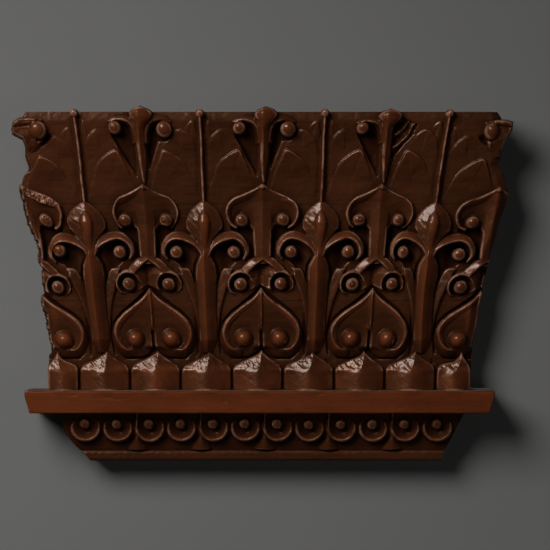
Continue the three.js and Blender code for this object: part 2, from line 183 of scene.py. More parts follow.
def inside(x, z, outline):
    """Distance from a closed outline, positive inside it."""
    ring = np.array(list(outline) + [outline[0]], float)
    distance, _, _ = nearest(x, z, ring)
    within = np.zeros(distance.shape, bool)
    for (x1, z1), (x2, z2) in zip(ring[:-1], ring[1:]):
        if z1 == z2:
            continue
        crosses = ((z1 > z) != (z2 > z)) & (x < (x2 - x1) * (z - z1) / (z2 - z1) + x1)
        within ^= crosses
    return np.where(within, distance, -distance)


# ---- Carved shapes: heights above the ground, at points given from an axis ----
def edge(x, z, spine, peaks, outer, inner, wall=4.0):
    """A sharp raised edge along a curve. `outer` and `inner` give the widths and slopes of the bands on its
    left and right, as knots along the curve, beyond which the wood drops away as a steep wall."""
    distance, side, t = nearest(x, z, curve(spine))
    run = np.sqrt(distance**2 + 0.6) - 0.775
    left = side > 0
    width = np.where(left, knots(t, *outer[0]), knots(t, *inner[0]))
    slope = np.where(left, knots(t, *outer[1]), knots(t, *inner[1]))
    drop = slope * np.minimum(run, width) + wall * over(run - width)
    return np.maximum(knots(t, *peaks) - drop, NOTHING)


def even(value):
    """A value that stays the same all along a curve."""
    return ((0, value), (1, value))


def bead(x, z, at, radius, top):
    distance = np.hypot(x - at[0], z - at[1])
    dome = np.sqrt(over(radius**2 - distance**2))
    skirt = 14.0 * over(distance - radius * 0.98)
    return np.maximum(top - radius + dome - skirt, NOTHING)


def walled(surface, into, width=1.8):
    """A surface with a rounded edge and a steep wall, where `into` is the distance inside the outline."""
    u = over((width - into) / width)
    return np.maximum(surface - (np.abs(surface) * 0.4 + 3.5) * u**2, NOTHING)


def pit(x, z, outline, depth, slope):
    """How far the ground is cut away: 0 on the outline and `depth` deep once `slope` inside it."""
    return depth * smooth(inside(x, z, outline) / slope)


BUD = mirrored([
    (0, 287), (5, 284.5), (10, 280.6), (15, 275.8), (18.8, 270), (21, 263), (20.6, 256), (16, 250),
    (10, 243), (7, 236), (4.5, 226),
])
VOLUTE = [
    (3.5, 226), (8, 234), (16, 240), (25, 243.8), (33, 244.6), (40, 240.8), (44, 234.2), (44.4, 228),
    (41.4, 222.5),
]
VOLUTE_PIT = [
    (9, 229), (16, 237), (25, 241.5), (33, 242.8), (39, 239), (42.6, 233.5), (43, 228), (40, 221.5),
    (33, 218.5), (27, 213), (22, 203), (18, 190), (12, 188), (11, 215),
]
VOLUTE_BEAD = (31.6, 229.7)


def stem(dx, z, left_bead=VOLUTE_BEAD):
    a = np.abs(dx)
    rib_half = knots(z, (283, 2.9), (370, 2.7), (380, 3.4))
    rib = 7.5 * (1.1 - 1.05 * (a / rib_half) ** 1.3) - 4 * over(z - 379)
    rib = np.where(z > 280, np.maximum(rib, NOTHING), NOTHING)
    knob = bead(a, z, (0, 380.8), 4.6, 10.0)

    ridge = knots(z, (226, 13.5), (255, 14.5), (264, 13.6), (275, 10.6), (287, 6.0))
    tooled = 0.22 * noise(dx + z, (z - dx) * 0.35, 3.4, 18)
    facet = ridge - 0.34 * a - 0.004 * a**2 + 0.25 * np.minimum(a, 1.0) + tooled
    bud = walled(facet, inside(a, z, BUD), 1.5)
    bulb_half = knots(z, (234, 2.2), (245, 4.3), (253, 5.8), (262, 6.7), (269, 5.2), (276.5, 0.6))
    bulb_dome = np.sqrt(over(1 - (a / bulb_half) ** 2))
    bulb_lift = knots(z, (234, 0.5), (250, 3.4), (262, 4.4), (270, 3.0), (277, 0.4))
    bulb = ridge - 1.3 + (bulb_lift + 0.9) * bulb_dome
    bulb = np.where((a < bulb_half) & (z > 234) & (z < 277), bulb, NOTHING)

    shaft_half = knots(z, (108, 11.0), (165, 11.6), (205, 12.8), (216, 11.6), (226, 7.0), (232, 3.0))
    off_ridge = np.abs(dx + 2.0)
    flank = knots(z, (118, 4.0), (134, 12.5), (200, 15.5), (226, 15.5), (240, 12.0)) - 0.72 * off_ridge
    shaft = walled(flank - 2.5 * over(119 - z), shaft_half - a, 2.6)
    shaft = np.where(z > 236, NOTHING, shaft)

    peaks = ((0, 12.5), (0.25, 13.5), (0.7, 12), (0.9, 9), (1, 5))
    band = (((0, 6.0), (0.3, 8.0), (0.55, 7.0), (0.75, 4.0), (1, 1.0)), ((0, 0.85), (0.5, 1.0), (1, 1.3)))
    scroll = edge(a, z, VOLUTE, peaks, band, (even(0.4), even(1.5)), 8.0)
    eye = np.where(dx < 0, bead(a, z, left_bead, 7.2, 12.5), bead(a, z, VOLUTE_BEAD, 7.2, 12.5))

    shape = np.maximum.reduce([bud, bulb, shaft, scroll, eye, rib, knob])
    cut = pit(a, z, VOLUTE_PIT, 7.0, 3.5) * smooth((a - 9) / 16)
    groove = knots(z, (108, 2.0), (150, 2.5), (200, 4.5), (215, 5.0), (226, 0.0))
    beside = smooth((a - shaft_half + 1) / 1.5) * smooth((shaft_half + 4.0 - a) / 3.0)
    cut = np.maximum(cut, np.where(z < 228, groove * beside, 0))
    cove = 1.3 * smooth((a - 2) / 1.5) * smooth((9 - a) / 6) * smooth((z - 285) / 12) * smooth((378 - z) / 8)
    return shape, np.maximum(cut, cove)


CREST_SHIFT = 2.0  # the crests stand a little right of the scrolls below them
CREST_SCROLL = [(5.6, 350), (6.4, 358.6), (8.2, 366.3), (12.6, 371.4), (19, 373.6), (27, 373.8), (33, 371.3)]
UNDER_RIGHT = [
    (5.5, 318), (5, 340), (6, 358), (7.5, 366), (11.8, 371), (18, 373.7), (27, 374.5), (33.6, 371),
    (36.5, 365), (35, 356), (28, 350.5), (20, 350), (16.5, 342), (12, 331), (8, 321),
]
UNDER_LEFT = [
    (5.5, 326), (6, 358), (9, 366), (13.5, 371), (20, 373), (27, 373), (33, 370), (35, 364), (33, 355),
    (28, 346), (22, 335), (15, 322), (9.5, 310), (6, 312),
]
TORN = [(4, 318), (9, 334), (20, 349), (31, 360), (33, 370), (24, 376), (12, 379), (5, 372)]


def crest(dx, z, broken=False):
    dx = dx - CREST_SHIFT
    if broken:
        z = z + 2.5 * smooth((z - 366) / 10)
    a = np.abs(dx)
    half = knots(z, (304, 1.6), (312, 3.4), (330, 5.0), (352, 5.4), (362, 5.5), (368.5, 6.8), (373, 9.4),
                 (376, 11.8), (379.5, 13.4), (382.8, 12.2), (386, 8.6), (388.4, 2.0))
    top = knots(z, (304, 5), (318, 9), (350, 12), (364, 13.5), (376, 16.5), (382, 15.5), (386, 12.5),
                (388.6, 9))
    from_ridge = np.abs(dx + 1.5)
    stalk = top - 0.9 * from_ridge
    from_middle = np.abs(dx - 1.8 * smooth((z - 366) / 8))
    dome = top - 0.22 * from_ridge - 4.0 * (from_middle / half) ** 2
    body = stalk + (dome - stalk) * smooth((z - 360) / 12)
    body = walled(body, (half - from_middle) * 0.9, 1.3) - 4 * over(z - 386.8) ** 1.4
    peaks = ((0, 6), (0.35, 7.5), (0.6, 6.0), (1, 2.5))
    outer = (((0, 1.0), (0.3, 3.5), (0.6, 5.0), (1, 3.0)), even(0.8))
    scroll = edge(a, z, CREST_SCROLL, peaks, outer, (even(0.3), even(2.0)), 3.0)
    eye = np.where(dx > 0, bead(a, z, (26.4, 363.4), 8.8, 13.0), bead(a, z, (27.6, 365.0), 7.2, 12.0))
    into = np.where(dx > 0, inside(a, z, UNDER_RIGHT), inside(a, z, UNDER_LEFT))
    tongue = 3.0 * np.exp(-(((a - 10) / 3.5) ** 2)) * smooth((348 - z) / 24) * (dx < 0)
    cut = np.maximum(9.0 * smooth(into / 4.5) - tongue, 0)
    if broken:
        right = dx > 5
        scroll = np.where(right, NOTHING, scroll)
        eye = np.where(right, NOTHING, eye)
        bend = (dx - 5) * 0.72 - (z - 345) * 0.62 + 0.02 * (dx - 18) ** 2 + 1.2 * noise(dx, z, 9, 23)
        split = np.abs((bend + 60) % 8.0 - 4.0) / 4.0
        torn = inside(dx, z, TORN)
        rough = texture(dx, z, 11, (1.5, 3.2), (0.8, 1.3))
        splinters = np.where(dx > 2, walled(-3.0 + 5.5 * split**1.4 + rough, torn, 1.5), NOTHING)
        body = np.maximum(body, splinters)
        cut = np.where(right, 8.0 * smooth(torn / 2.5), cut)
    return np.maximum.reduce([body, scroll, eye]), cut


FAN_EDGE = [
    (0, 303), (4, 300.2), (10, 296.7), (20.5, 291.8), (30.5, 288.2), (37.5, 282.5), (40.4, 274.5),
    (39, 266.5), (35, 260), (29, 256.5),
]
FAN_SHEET = mirrored(FAN_EDGE[:1] + FAN_EDGE[2:] + [
    (22, 257.5), (14, 259), (10.4, 254), (10, 240), (9.6, 226), (8.8, 216),
])
FAN_UNDER = [
    (10, 222), (10.2, 252), (13, 260), (20, 258.5), (29, 258.5), (36, 260), (36, 255), (30, 250),
    (22, 247), (15, 240), (13, 228),
]
FAN_BEAD = (22.4, 264.8)


def fan_scroll(dx, z, squeeze=(0.0, 0.0), faint_above=400.0):
    """`squeeze` narrows the left and right rims. The right rim is worn low above `faint_above`."""
    a = np.abs(dx)
    eye = bead(a, z, FAN_BEAD, 7.2, 12.0)
    a = a + np.where(dx < 0, *squeeze) * smooth((a - 23) / 11)
    ridge = knots(z, (219, 8.5), (250, 10.0), (285, 9.5), (296, 11.5), (303, 11.5))
    spine = ridge - 0.42 * a
    around = np.hypot(a - FAN_BEAD[0], z - FAN_BEAD[1])
    scoop = knots(around, (0, -1.0), (8, -0.5), (12, 2.0), (20, 5.0), (30, 7.0), (60, 8.0))
    sheet = soft_max(spine, scoop, 2.0)
    sheet = np.where(a > 10, np.minimum(sheet, scoop + 1.2), sheet)
    sheet = walled(sheet, inside(a, z, FAN_SHEET), 1.4)
    peaks = ((0, 13), (0.1, 11.5), (0.5, 11.5), (0.8, 10), (1, 6))
    inner = (((0, 4), (0.3, 6), (0.7, 6), (1, 1)), ((0, 0.7), (0.4, 1.0), (0.8, 1.6), (1, 2)))
    rim = edge(a, z, FAN_EDGE, peaks, (even(0.5), even(0.9)), inner, 10.0)
    rim = rim - 4.0 * smooth((dx - 3) / 5) * smooth((z - faint_above) / 6)
    knob = bead(a, z, (0, 300.5), 2.8, 14.6)
    under = pit(a, z, FAN_UNDER, 8.0, 1.8)
    groove = 3.5 * smooth((a - 8.8) / 1.5) * smooth((15 - a) / 4)
    groove = groove * smooth((z - 216) / 6) * smooth((258 - z) / 6)
    return np.maximum.reduce([sheet, rim, eye, knob]), np.maximum(under, groove)


ARCH_SHIFT = -2.0
ARCH = [(0, 222), (4, 219.6), (9, 215.8), (13.5, 211), (17, 206.5)]
ARCH_SHEET = mirrored([
    (0, 222.5), (6, 219.5), (13, 216), (20, 212.5), (27, 210.5), (33.5, 205.5), (37, 197.5), (36.4, 190),
    (33.5, 184.5), (29, 183), (22, 184.5), (14, 186), (8, 188.5), (4, 191), (0, 193),
])
ARCH_BEAD = (22.0, 194.6)
ARCH_RING = 12.4


def arch_scroll(dx, z, rough=0.0):
    peak_dx = np.abs(dx)
    dx = dx - ARCH_SHIFT
    a = np.abs(dx)
    outer = (((0, 4.0), (0.4, 6.5), (1, 7.0)), ((0, 0.95), (0.4, 0.60), (0.7, 0.42), (1, 0.42)))
    arris = edge(peak_dx, z, ARCH, ((0, 11), (0.4, 12.5), (1, 11.5)), outer, (even(0.4), even(2.0)), 8.0)
    around = np.hypot(a - ARCH_BEAD[0], z - ARCH_BEAD[1])
    valley = 1.5 + 0.60 * np.abs(dx + 1.5) + 1.3 * noise(dx, z, 3.0, 13) * rough
    # The lip round each bead stands highest at the upper left and all but goes at the lower right.
    away = (a - ARCH_BEAD[0]) * np.sign(dx + 1e-9) - (z - ARCH_BEAD[1])
    away = away / np.maximum(around, 0.1) / 1.414
    lip = 11.6 - 5.0 * smooth((away + 0.1) / 0.8)
    bevel = lip - 0.55 * over(around - ARCH_RING) ** 1.15 - 0.9 * over(192 - z)
    sheet = walled(np.minimum(valley, bevel), inside(a, z, ARCH_SHEET), 1.3)
    shape = np.maximum(arris, sheet)
    # The bowl is undercut at the upper left and runs out flat at the lower right.
    steep = 6.0 - 5.0 * smooth((away + 0.2) / 1.0)
    bowl = -2.5 + steep * over(around - ARCH_RING + 2.0 + 3.0 * smooth(away))
    shape = np.where(around < ARCH_RING + 4, np.minimum(shape, bowl), shape)
    eye = bead(a, z, ARCH_BEAD, 7.3, 11.5)
    return np.maximum(shape, eye), 5.0 * smooth((ARCH_RING - 1.5 - around) / 2.5)


HEART_EDGE = [
    (0, 189), (4.6, 182.5), (11, 176.3), (20.5, 169.5), (30.5, 161.7), (38, 153), (41.4, 143.5),
    (40.3, 134.5), (36, 127.3), (30.5, 123), (25, 123),
]
HEART_SHEET = mirrored(HEART_EDGE[:7] + [
    (40.6, 133.5), (37, 124), (30, 116.5), (22, 112.8), (14, 112.8), (7, 115.5), (2.5, 120.5), (0, 125),
])
# The hollow that sets each heart off.
HEART_HALO = mirrored([
    (0, 196), (8, 187), (22, 175), (34, 166), (43, 155), (46.5, 143), (46, 131), (42, 120), (33, 111),
    (20, 108), (8, 109), (0, 110),
])
HEART_BEAD = (20.0, 134.8)


def heart_leaf(dx, z):
    dx = dx + 1.3
    a = np.abs(dx)
    around = np.hypot(a - HEART_BEAD[0], z - HEART_BEAD[1])
    bowl = knots(around, (0, 3.0), (11, 3.5), (18, 5.0), (30, 6.5), (60, 7.5))
    midrib = 3.0 * np.exp(-((a / 1.7) ** 2)) * smooth((z - 147) / 3)
    tip = 2.0 * smooth((z - 180) / 6) * np.exp(-a / 2)
    tuft = 1.6 * np.exp(-(((a - 0.5) / 2.6) ** 2) - ((z - 146.5) / 2.0) ** 2)
    sheet = bowl + midrib + tip + tuft
    below = around * smooth((HEART_BEAD[1] - 2 - z) / 12)
    sheet = sheet - knots(below, (0, 0), (9, 0.0), (14, 2.5), (24, 9.5))
    seam = 6.0 * smooth((2.2 - a) / 1.8) * smooth((145 - z) / 5)
    sheet = walled(sheet - seam, inside(a, z, HEART_SHEET), 1.3)
    peaks = ((0, 8.5), (0.1, 8.5), (0.22, 9.8), (0.7, 10.2), (0.9, 9.6), (1, 7))
    outer = (((0, 0.4), (0.5, 1.0), (0.7, 3.0), (0.85, 8.0), (1, 9.0)),
             ((0, 3.0), (0.5, 3.0), (0.8, 1.5), (1, 1.0)))
    inner = (((0, 2.5), (0.4, 5), (0.8, 4), (1, 0.5)), ((0, 0.6), (0.5, 0.7), (0.8, 1.2), (1, 3)))
    rim = edge(a, z, HEART_EDGE, peaks, outer, inner, 9.0)
    dome = 14.5 - 11.6 * (around / 11.2) ** 2.2
    eye = np.where(around < 11.6, dome, NOTHING)
    return np.maximum.reduce([sheet, rim, eye]), pit(a, z, HEART_HALO, 5.0, 2.5)


BODY_LEFT = [
    (70, -236), (116, -236), (119, -233.5), (126, -233), (137, -236), (153, -236.8), (157, -239),
    (161, -239), (170, -241.5), (181, -243.4), (184, -241.2), (205, -242), (212, -243.4), (224, -245),
    (236, -245.5), (245, -250), (260, -256.3), (275, -260), (291, -264), (302, -265), (308, -263.5),
    (315, -261), (318, -257.5), (323, -256.5), (328, -258.3), (334, -260.3), (344, -260), (350, -261.5),
    (370, -262.5), (377, -262.4), (383, -259),
]
BODY_RIGHT = [
    (70, 228.5), (81, 229), (111, 230.7), (135, 232.5), (147, 235.5), (171, 238.5), (182, 241.5),
    (206, 246.3), (230, 252.2), (246, 257), (257, 260), (268, 262.8), (279, 267), (290, 269.5),
    (298, 270.3), (304, 267), (316, 264.5), (320, 260.6), (325, 258.3), (334, 261.5), (343, 262.5),
    (352, 263), (370, 262), (377, 261.5), (383, 257.5),
]
FRIEZE_LEFT = [(11.3, -201.5), (17, -207), (23, -212), (28, -216), (34, -218.5), (40, -219.5), (53.7, -220.5)]
FRIEZE_RIGHT = [(11.3, 201), (26, 208.5), (40, 215.5), (53.7, 222)]


def base_leaf(x, z, left, right, tip_x):
    """A leaf between two upright sides, with a ridge up its middle that leans to the tip."""
    middle, half = (left + right) / 2, (right - left) / 2 - 0.4
    arch = mirrored([(0, 121.5), (half * 0.12, 118.5), (half * 0.35, 114), (half * 0.65, 109.5),
                     (half * 0.88, 106), (half * 0.98, 101.5), (half, 95), (half, 70)])
    dx = x - middle
    lean = (tip_x - middle) * smooth((z - 92) / 26)
    from_tip = np.abs(dx - lean * (1 - np.clip(np.abs(dx) / half, 0, 1)))
    ridge = knots(z, (78, 12.0), (98, 13.0), (102, 12.5), (112, 9.6), (121, 5.4))
    crease = 5.0 * smooth((103 - z) / 8)
    rounded = np.sqrt(from_tip**2 + crease**2) - crease
    face = ridge - rounded * (0.24 + 0.05 * smooth((z - 100) / 8) + 0.12 * smooth((101 - z) / 6))
    swell_half = half * knots(z, (78, 0.80), (92, 0.75), (103, 0.4))
    swell = over(1 - (np.abs(dx - lean) / np.maximum(swell_half, 0.5)) ** 2)
    swell = swell * knots(z, (78, 3.4), (103, 0.0))
    tooled = 0.50 * noise(x + z, (z - x) * 0.35, 3.4, 14) + 0.20 * noise(x, z, 1.8, 15)
    tooled = tooled * (0.2 + 0.8 * smooth((z - 99) / 4))
    return walled(face + swell + tooled, inside(from_tip, z, arch), 1.2)


SPINE_SHIFT = 2.6  # how far a cup pair's ridge stands right of the middle between its beads


def frieze_cup(dx, z, sides):
    """Two scooped cups either side of a ridge, with a drop under it. `sides` says which cups there are."""
    cups = []
    for side in sides:
        bead_x = side * CUP_PITCH / 2 - 2.0
        reach = np.hypot(dx - bead_x - 1.0, z - 37.6) / 14.8
        lip = knots(z, (23, 9.5), (33, 8.5), (40, 5.0), (46, 1.0), (54, -1.0))
        bowl = -1.5 + (lip + 1.5) * (reach / 0.93) ** 2.6
        rim = lip - 35 * (reach - 0.93) ** 2 - 30 * over(reach - 1.08)
        cups.append(np.where(reach < 0.93, bowl, np.maximum(rim, NOTHING)))
        cups.append(bead(dx, z, (bead_x, 40.6), 5.8, 10.0))
    if len(sides) > 1:
        near = np.abs(dx - SPINE_SHIFT)
        cups.append(np.where(z > 22, knots(z, (24, 8.0), (54, 6.0)) - 1.8 * near, NOTHING))
        flare_half = knots(z, (9, 7.5), (12, 8.8), (17, 6.8), (24, 3.0), (28, 1.5))
        flare = 7.5 - 3.5 * (near / flare_half) ** 2 - 6.0 * over(12 - z)
        cups.append(np.where((z < 28) & (z > 7), flare, NOTHING))
    return np.maximum(np.maximum.reduce(cups), NOTHING)


# ---- The depth maps ----
columns = np.arange(-282, 282 + STEP / 2, STEP)
rows = np.arange(-3, 392 + STEP / 2, STEP)
flat_x, flat_z = np.meshgrid(columns, rows)
# A carver's hand is never quite even: shapes are drawn on coordinates that wander a little.
map_x = flat_x + texture(flat_x, flat_z, 1, (0.55, 34), (0.22, 11))
map_z = flat_z + texture(flat_x, flat_z, 3, (0.55, 34), (0.22, 11))
# The carver's spacing drifts at the two ends: the last shapes sit lower and closer in.
rightward = smooth((flat_x - 130) / 50) * (1 - 0.35 * smooth((flat_x - 200) / 40))
map_x = map_x + rightward * knots(flat_z, (122, 0), (150, 3.0), (180, 4.8), (280, 4.8), (383, 0.5))
map_z = map_z + 3.0 * smooth((flat_x - 170) / 50) * knots(flat_z, (120, 0), (150, 1), (330, 1), (360, 0))
leftward = smooth((-185 - flat_x) / 40)
lower_left = leftward * knots(flat_z, (120, 0), (150, 1), (240, 1), (260, 0))
upper_left = leftward * knots(flat_z, (250, 0), (266, 1), (305, 1), (330, 0))
map_x = map_x - 1.5 * lower_left + 4.0 * upper_left
map_z = map_z + 3.5 * lower_left
bell = bell_depth(flat_z)
low_ground = frieze_depth(flat_z)


def edges_at(z):
    """The panel's left and right ends at height z."""
    on_body = z > GROUND_SPLIT
    left = np.where(on_body, knots(z, *BODY_LEFT), knots(z, *FRIEZE_LEFT))
    right = np.where(on_body, knots(z, *BODY_RIGHT), knots(z, *FRIEZE_RIGHT))
    crumble = texture(z * 0, z, 5, (0.9, 7), (0.6, 2.5))
    left = left + np.where(on_body, crumble * smooth((330 - z) / 60), 0.4 * crumble)
    right = right + 0.25 * noise(z * 0, z, 9, 7)
    return left, right


left_edge, right_edge = edges_at(rows)
into_left = flat_x - left_edge[:, None]
into_right = right_edge[:, None] - flat_x
to_edge = np.minimum(into_left, into_right)


def window(x0, x1, z0, z1):
    i0, i1 = np.searchsorted(rows, [z0, z1])
    j0, j1 = np.searchsorted(columns, [x0, x1])
    return slice(max(i0, 0), i1 + 1), slice(max(j0, 0), j1 + 1)


ornaments = {}  # name: (part of the map, depth there)
ground_cut = np.zeros(flat_x.shape)


def trimmed(height, part):
    """An ornament ends at the panel's edges: worn away on the left, sawn off on the right."""
    worn = texture(flat_x[part], flat_z[part], 8, (1.5, 5), (0.8, 2))
    left = over(2.5 + worn - into_left[part])
    right = 0.6 * over(9.0 - into_right[part]) + 3.2 * over(1.0 - into_right[part])
    return height - 2.2 * left**1.2 - right


def add(name, part, height, cut=None, base=bell):
    ornaments[name] = (part, base[part] + height)
    if cut is not None:
        ground_cut[part] = np.maximum(ground_cut[part], cut)


def motif_part(unit, reach, low, high):
    """The part of the maps round one axis of the fan, and the coordinates from that axis in it."""
    ends = [fan_x(unit, z) for z in (low, high)]
    part = window(min(ends) - reach, max(ends) + reach, low, high)
    return part, map_x[part] - fan_x(unit, map_z[part]), map_z[part]


ODD_UNITS, EVEN_UNITS = (-3, -1, 1, 3), (-4, -2, 0, 2, 4)
# Each motif: its name, its shape, its reach to the sides, its lowest and highest z, and what varies by unit.
STEM = ("stem", stem, 56, 104, 391, {-3: {"left_bead": (35.5, 234.8)}})
CREST = ("crest", crest, 46, 298, 391, {2: {"broken": True}})
FAN = ("fan_scroll", fan_scroll, 54, 214, 309, {
    -2: {"squeeze": (6.3, 5.3), "faint_above": 240.0},
    0: {"squeeze": (0.8, 1.4), "faint_above": 284.0},
    2: {"squeeze": (4.0, 0.8), "faint_above": 240.0},
})
ARCH_PAIR = ("arch_scroll", arch_scroll, 54, 172, 226, {0: {"rough": 1.0}})
HEART = ("heart_leaf", heart_leaf, 54, 112, 200, {})
MOTIFS = ((ODD_UNITS, [STEM]), (EVEN_UNITS[1:-1], [CREST]), (EVEN_UNITS, [FAN, ARCH_PAIR, HEART]))
for units, motifs in MOTIFS:
    for i, unit in enumerate(units):
        for kind, shape, reach, low, high, varied in motifs:
            part, x, z = motif_part(unit, reach, low, high)
            height, cut = shape(x, z, **varied.get(unit, {}))
            add(f"{kind}_{i + 1}", part, trimmed(height, part) if abs(unit) == 4 else height, cut)
for i in range(9):
    start = BASE_SHIFT + BASE_PITCH * (i - 4.5)
    left, right = max(start, -237), min(start + BASE_PITCH, 230)
    part = window(left - 4, right + 4, 74, 124)
    tip_x = fan_x(i - 4, 120) * 0.97 - 1.0
    add(f"base_leaf_{i + 1}", part, base_leaf(map_x[part], map_z[part], left, right, tip_x))
for i, unit in enumerate(range(-3, 4)):
    sides = (-1, 1) if abs(unit) < 3 else (-np.sign(unit),)
    middle = unit * 2 * CUP_PITCH
    part = window(middle - 38, middle + 38, 8, 56)
    height = frieze_cup(map_x[part] - middle, map_z[part], sides) - 5 * over(1.0 - to_edge[part])
    add(f"frieze_cups_{i + 1}", part, height, None, low_ground)


def corner_volute(side, x, z):
    """A bead with a stub of its scroll running out past the panel's edge."""
    if side < 0:
        at, radius = (-245, 362.5), 10.0
        cap = [(-240, 374.5), (-252, 376.5), (-266, 376), (-272, 372), (-274, 365), (-273, 358.5),
               (-268, 356), (-262, 353), (-258, 340), (-252, 336), (-244, 344), (-240, 352)]
    else:
        at, radius = (251.5, 361.5), 8.8
        cap = [(243, 371), (256, 374.5), (268, 373.8), (274.2, 372), (274.2, 364.5), (270, 356), (265.5, 347),
               (262.5, 336), (255, 334), (248, 344), (246, 354)]
    arm = 9.5 + texture(x, z, 21, (1.2, 8), (0.5, 2.5))
    arm = arm - 8.0 * smooth((358 - z) / 22)
    slit = np.abs(z - at[1] - 7.0 + 0.12 * (x - at[0]) * side)
    arm = arm - 3.5 * smooth((1.6 - slit) / 1.4) * smooth((np.abs(x - at[0]) - 4) / 4)
    arm = walled(arm, inside(x, z, cap), 2.4)
    around = np.hypot(x - at[0], z - at[1])
    inward = (x - at[0]) * side < 2
    arm = np.minimum(arm, np.where((around < radius + 2.0) & inward, 3.0, 99))
    below = 6.0 * smooth((radius + 8 - around) / 6.0) * smooth((at[1] - 2 - z) / 6)
    return np.maximum(arm, bead(x, z, at, radius, 15.5)), np.where(inward, below, 0)


for side, name in ((-1, "corner_volute_left"), (1, "corner_volute_right")):
    part = window(*sorted((226 * side, 280 * side)), 326, 384)
    add(name, part, *corner_volute(side, map_x[part], map_z[part]))

# ---- The ground: stacked leaves behind the stems, bands beside the hearts, and every hollow ----
LOBES = [  # each lobe's edge, from its inner end over the tip, its height, and the length of its slope
    ([(2.5, 352), (5, 364), (8, 372), (13, 369), (17, 362)], 1.8, 12.0),
    ([(6.5, 342), (9, 350.5), (14.5, 358.5), (22, 363), (29, 360), (35, 354)], 3.6, 15.0),
    ([(14, 316), (18, 325), (25, 332.5), (34, 338.5), (41.5, 340.5), (45.5, 332), (50, 322), (54, 309)],
     5.2, 24.0),
]
ground = bell.copy()
for unit in ODD_UNITS:
    part, x, z = motif_part(unit, 62, 284, 384)
    a = np.abs(x)
    if abs(unit) == 3:  # the outermost halves of the leaves hang lower
        outward = smooth(x * np.sign(unit) / 8)
        z = z + 7.0 * outward
        a = a * (1 - 0.06 * outward)
    leaf = np.zeros(x.shape)
    for outline, top, length in LOBES:
        distance, side, t = nearest(a, z, curve(outline))
        lift = top * knots(t, (0, 0.1), (0.25, 0.8), (0.5, 1), (0.7, 0.7), (1, 0.1))
        below = lift * np.exp(-((distance / length) ** 1.5)) * smooth((distance + 0.2) / 0.6 + 0.4)
        above = lift - 6.0 * over(distance - 0.2)
        leaf = np.maximum(leaf, np.where(side < 0, below, above))
    ground[part] = np.maximum(ground[part], bell[part] + leaf * smooth((378 - z) / 5 + 0.5))
BAND = [(35, 205), (40, 192), (44.5, 178), (48, 160), (49.5, 140), (48, 120), (44, 112)]
for unit in EVEN_UNITS:
    part, x, z = motif_part(unit, 60, 106, 212)
    peaks = ((0, 5.0), (0.4, 4.0), (1, 1.0))
    band = edge(np.abs(x), z, BAND, peaks, (even(9.0), even(0.3)), (even(0.6), even(1.2)))
    ground[part] = np.maximum(ground[part], bell[part] + band)
    ground_cut[part] = np.where(band > 0.5, 0, ground_cut[part])
ground = ground - ground_cut
ground -= 3.0 * np.clip((flat_z - 372.5) / 10.5, 0, 1) ** 1.4
ground = np.where(flat_z < GROUND_SPLIT, low_ground, ground)
ground += texture(flat_x, flat_z, 31, (0.18, 6), (0.12, 3))
chipped = over(2.0 + 1.6 * noise(flat_x, flat_z, 6, 33) - into_left)
sawn = over(9.0 - into_right)
ground = ground - np.where(flat_z > GROUND_SPLIT, 1.4 * chipped + 0.55 * sawn, 0)

for name, (part, depth) in ornaments.items():
    grain = texture(flat_x[part], flat_z[part], 41, (0.10, 4), (0.06, 1.6))
    ornaments[name] = (part, blur(depth, 1) * 0.5 + depth * 0.5 + grain)

# Where the edge of the first fan scroll is abraded.
SCAR = [
    (-264.6, 304.7), (-255.8, 299.2), (-239.3, 294.8), (-222.8, 283.8), (-218.4, 279.4), (-228.3, 278.3),
    (-244.8, 282.7), (-258.0, 290.4), (-264.6, 298.0),
]
CHIPPED_BEADS = [(-108.4, 264.0), (108.4, 265.0), (99.6, 194.0), (-236.0, 267.3)]
for name, (part, depth) in ornaments.items():
    if name.startswith(("fan_scroll", "arch_scroll")):
        for at_x, at_z in CHIPPED_BEADS:
            from_tip = np.hypot(flat_x[part] - at_x, flat_z[part] - at_z)
            depth -= 1.3 * np.exp(-(((from_tip - 2.4) / 0.9) ** 2)) + 0.5 * (from_tip < 1.2)
    if name == "fan_scroll_1":
        scar = smooth(inside(flat_x[part], flat_z[part], SCAR) / 1.6)
        grit = texture(flat_x[part], flat_z[part], 16, (1.0, 2.6), (0.6, 1.3))
        depth += scar * (bell[part] + 9.0 + 1.3 * grit - depth) * (depth > bell[part] - 3)

# ---- Where the carving is worn, sunken or proud, for the materials: wear and painted highlight, painted shade in the hollows, rubbing and painted sheen ----
BEHIND_RAIL = 46.0  # stands in for the rail, so that its depth doesn't shade the carving next to it
seen = ground.copy()
for part, depth in ornaments.values():
    seen[part] = np.maximum(seen[part], depth)
on_rail = (flat_z > FRIEZE_TOP) & (flat_z < RAIL_TOP)
seen = np.where(on_rail, BEHIND_RAIL, np.where(flat_z < BASE_TOP, BASE_DEPTH, seen))
# The wear mask marks worn edges, and the sharpest of them also get a painted highlight.
wear_and_highlight_map = np.clip((seen - blur(seen, 3)) / 2.2, 0, 1)
scarred = smooth(inside(flat_x, flat_z, SCAR) / 2.0) * (0.75 + 0.5 * noise(flat_x, flat_z, 3.0, 19))
wear_and_highlight_map = np.clip(np.maximum(wear_and_highlight_map, scarred), 0, 1)
# Painted shade: the colour darkens in hollows, recesses and deep cuts, where shade falls.
hollow_shade_map = np.clip((blur(seen, 12) - seen - 0.6) / 5.5, 0, 1)
deep_cut_shade = np.where(seen < ground + 0.3, ground_cut, 0)
hollow_shade_map = np.maximum(hollow_shade_map, np.clip(blur(deep_cut_shade, 2) / 5.5, 0, 0.9))
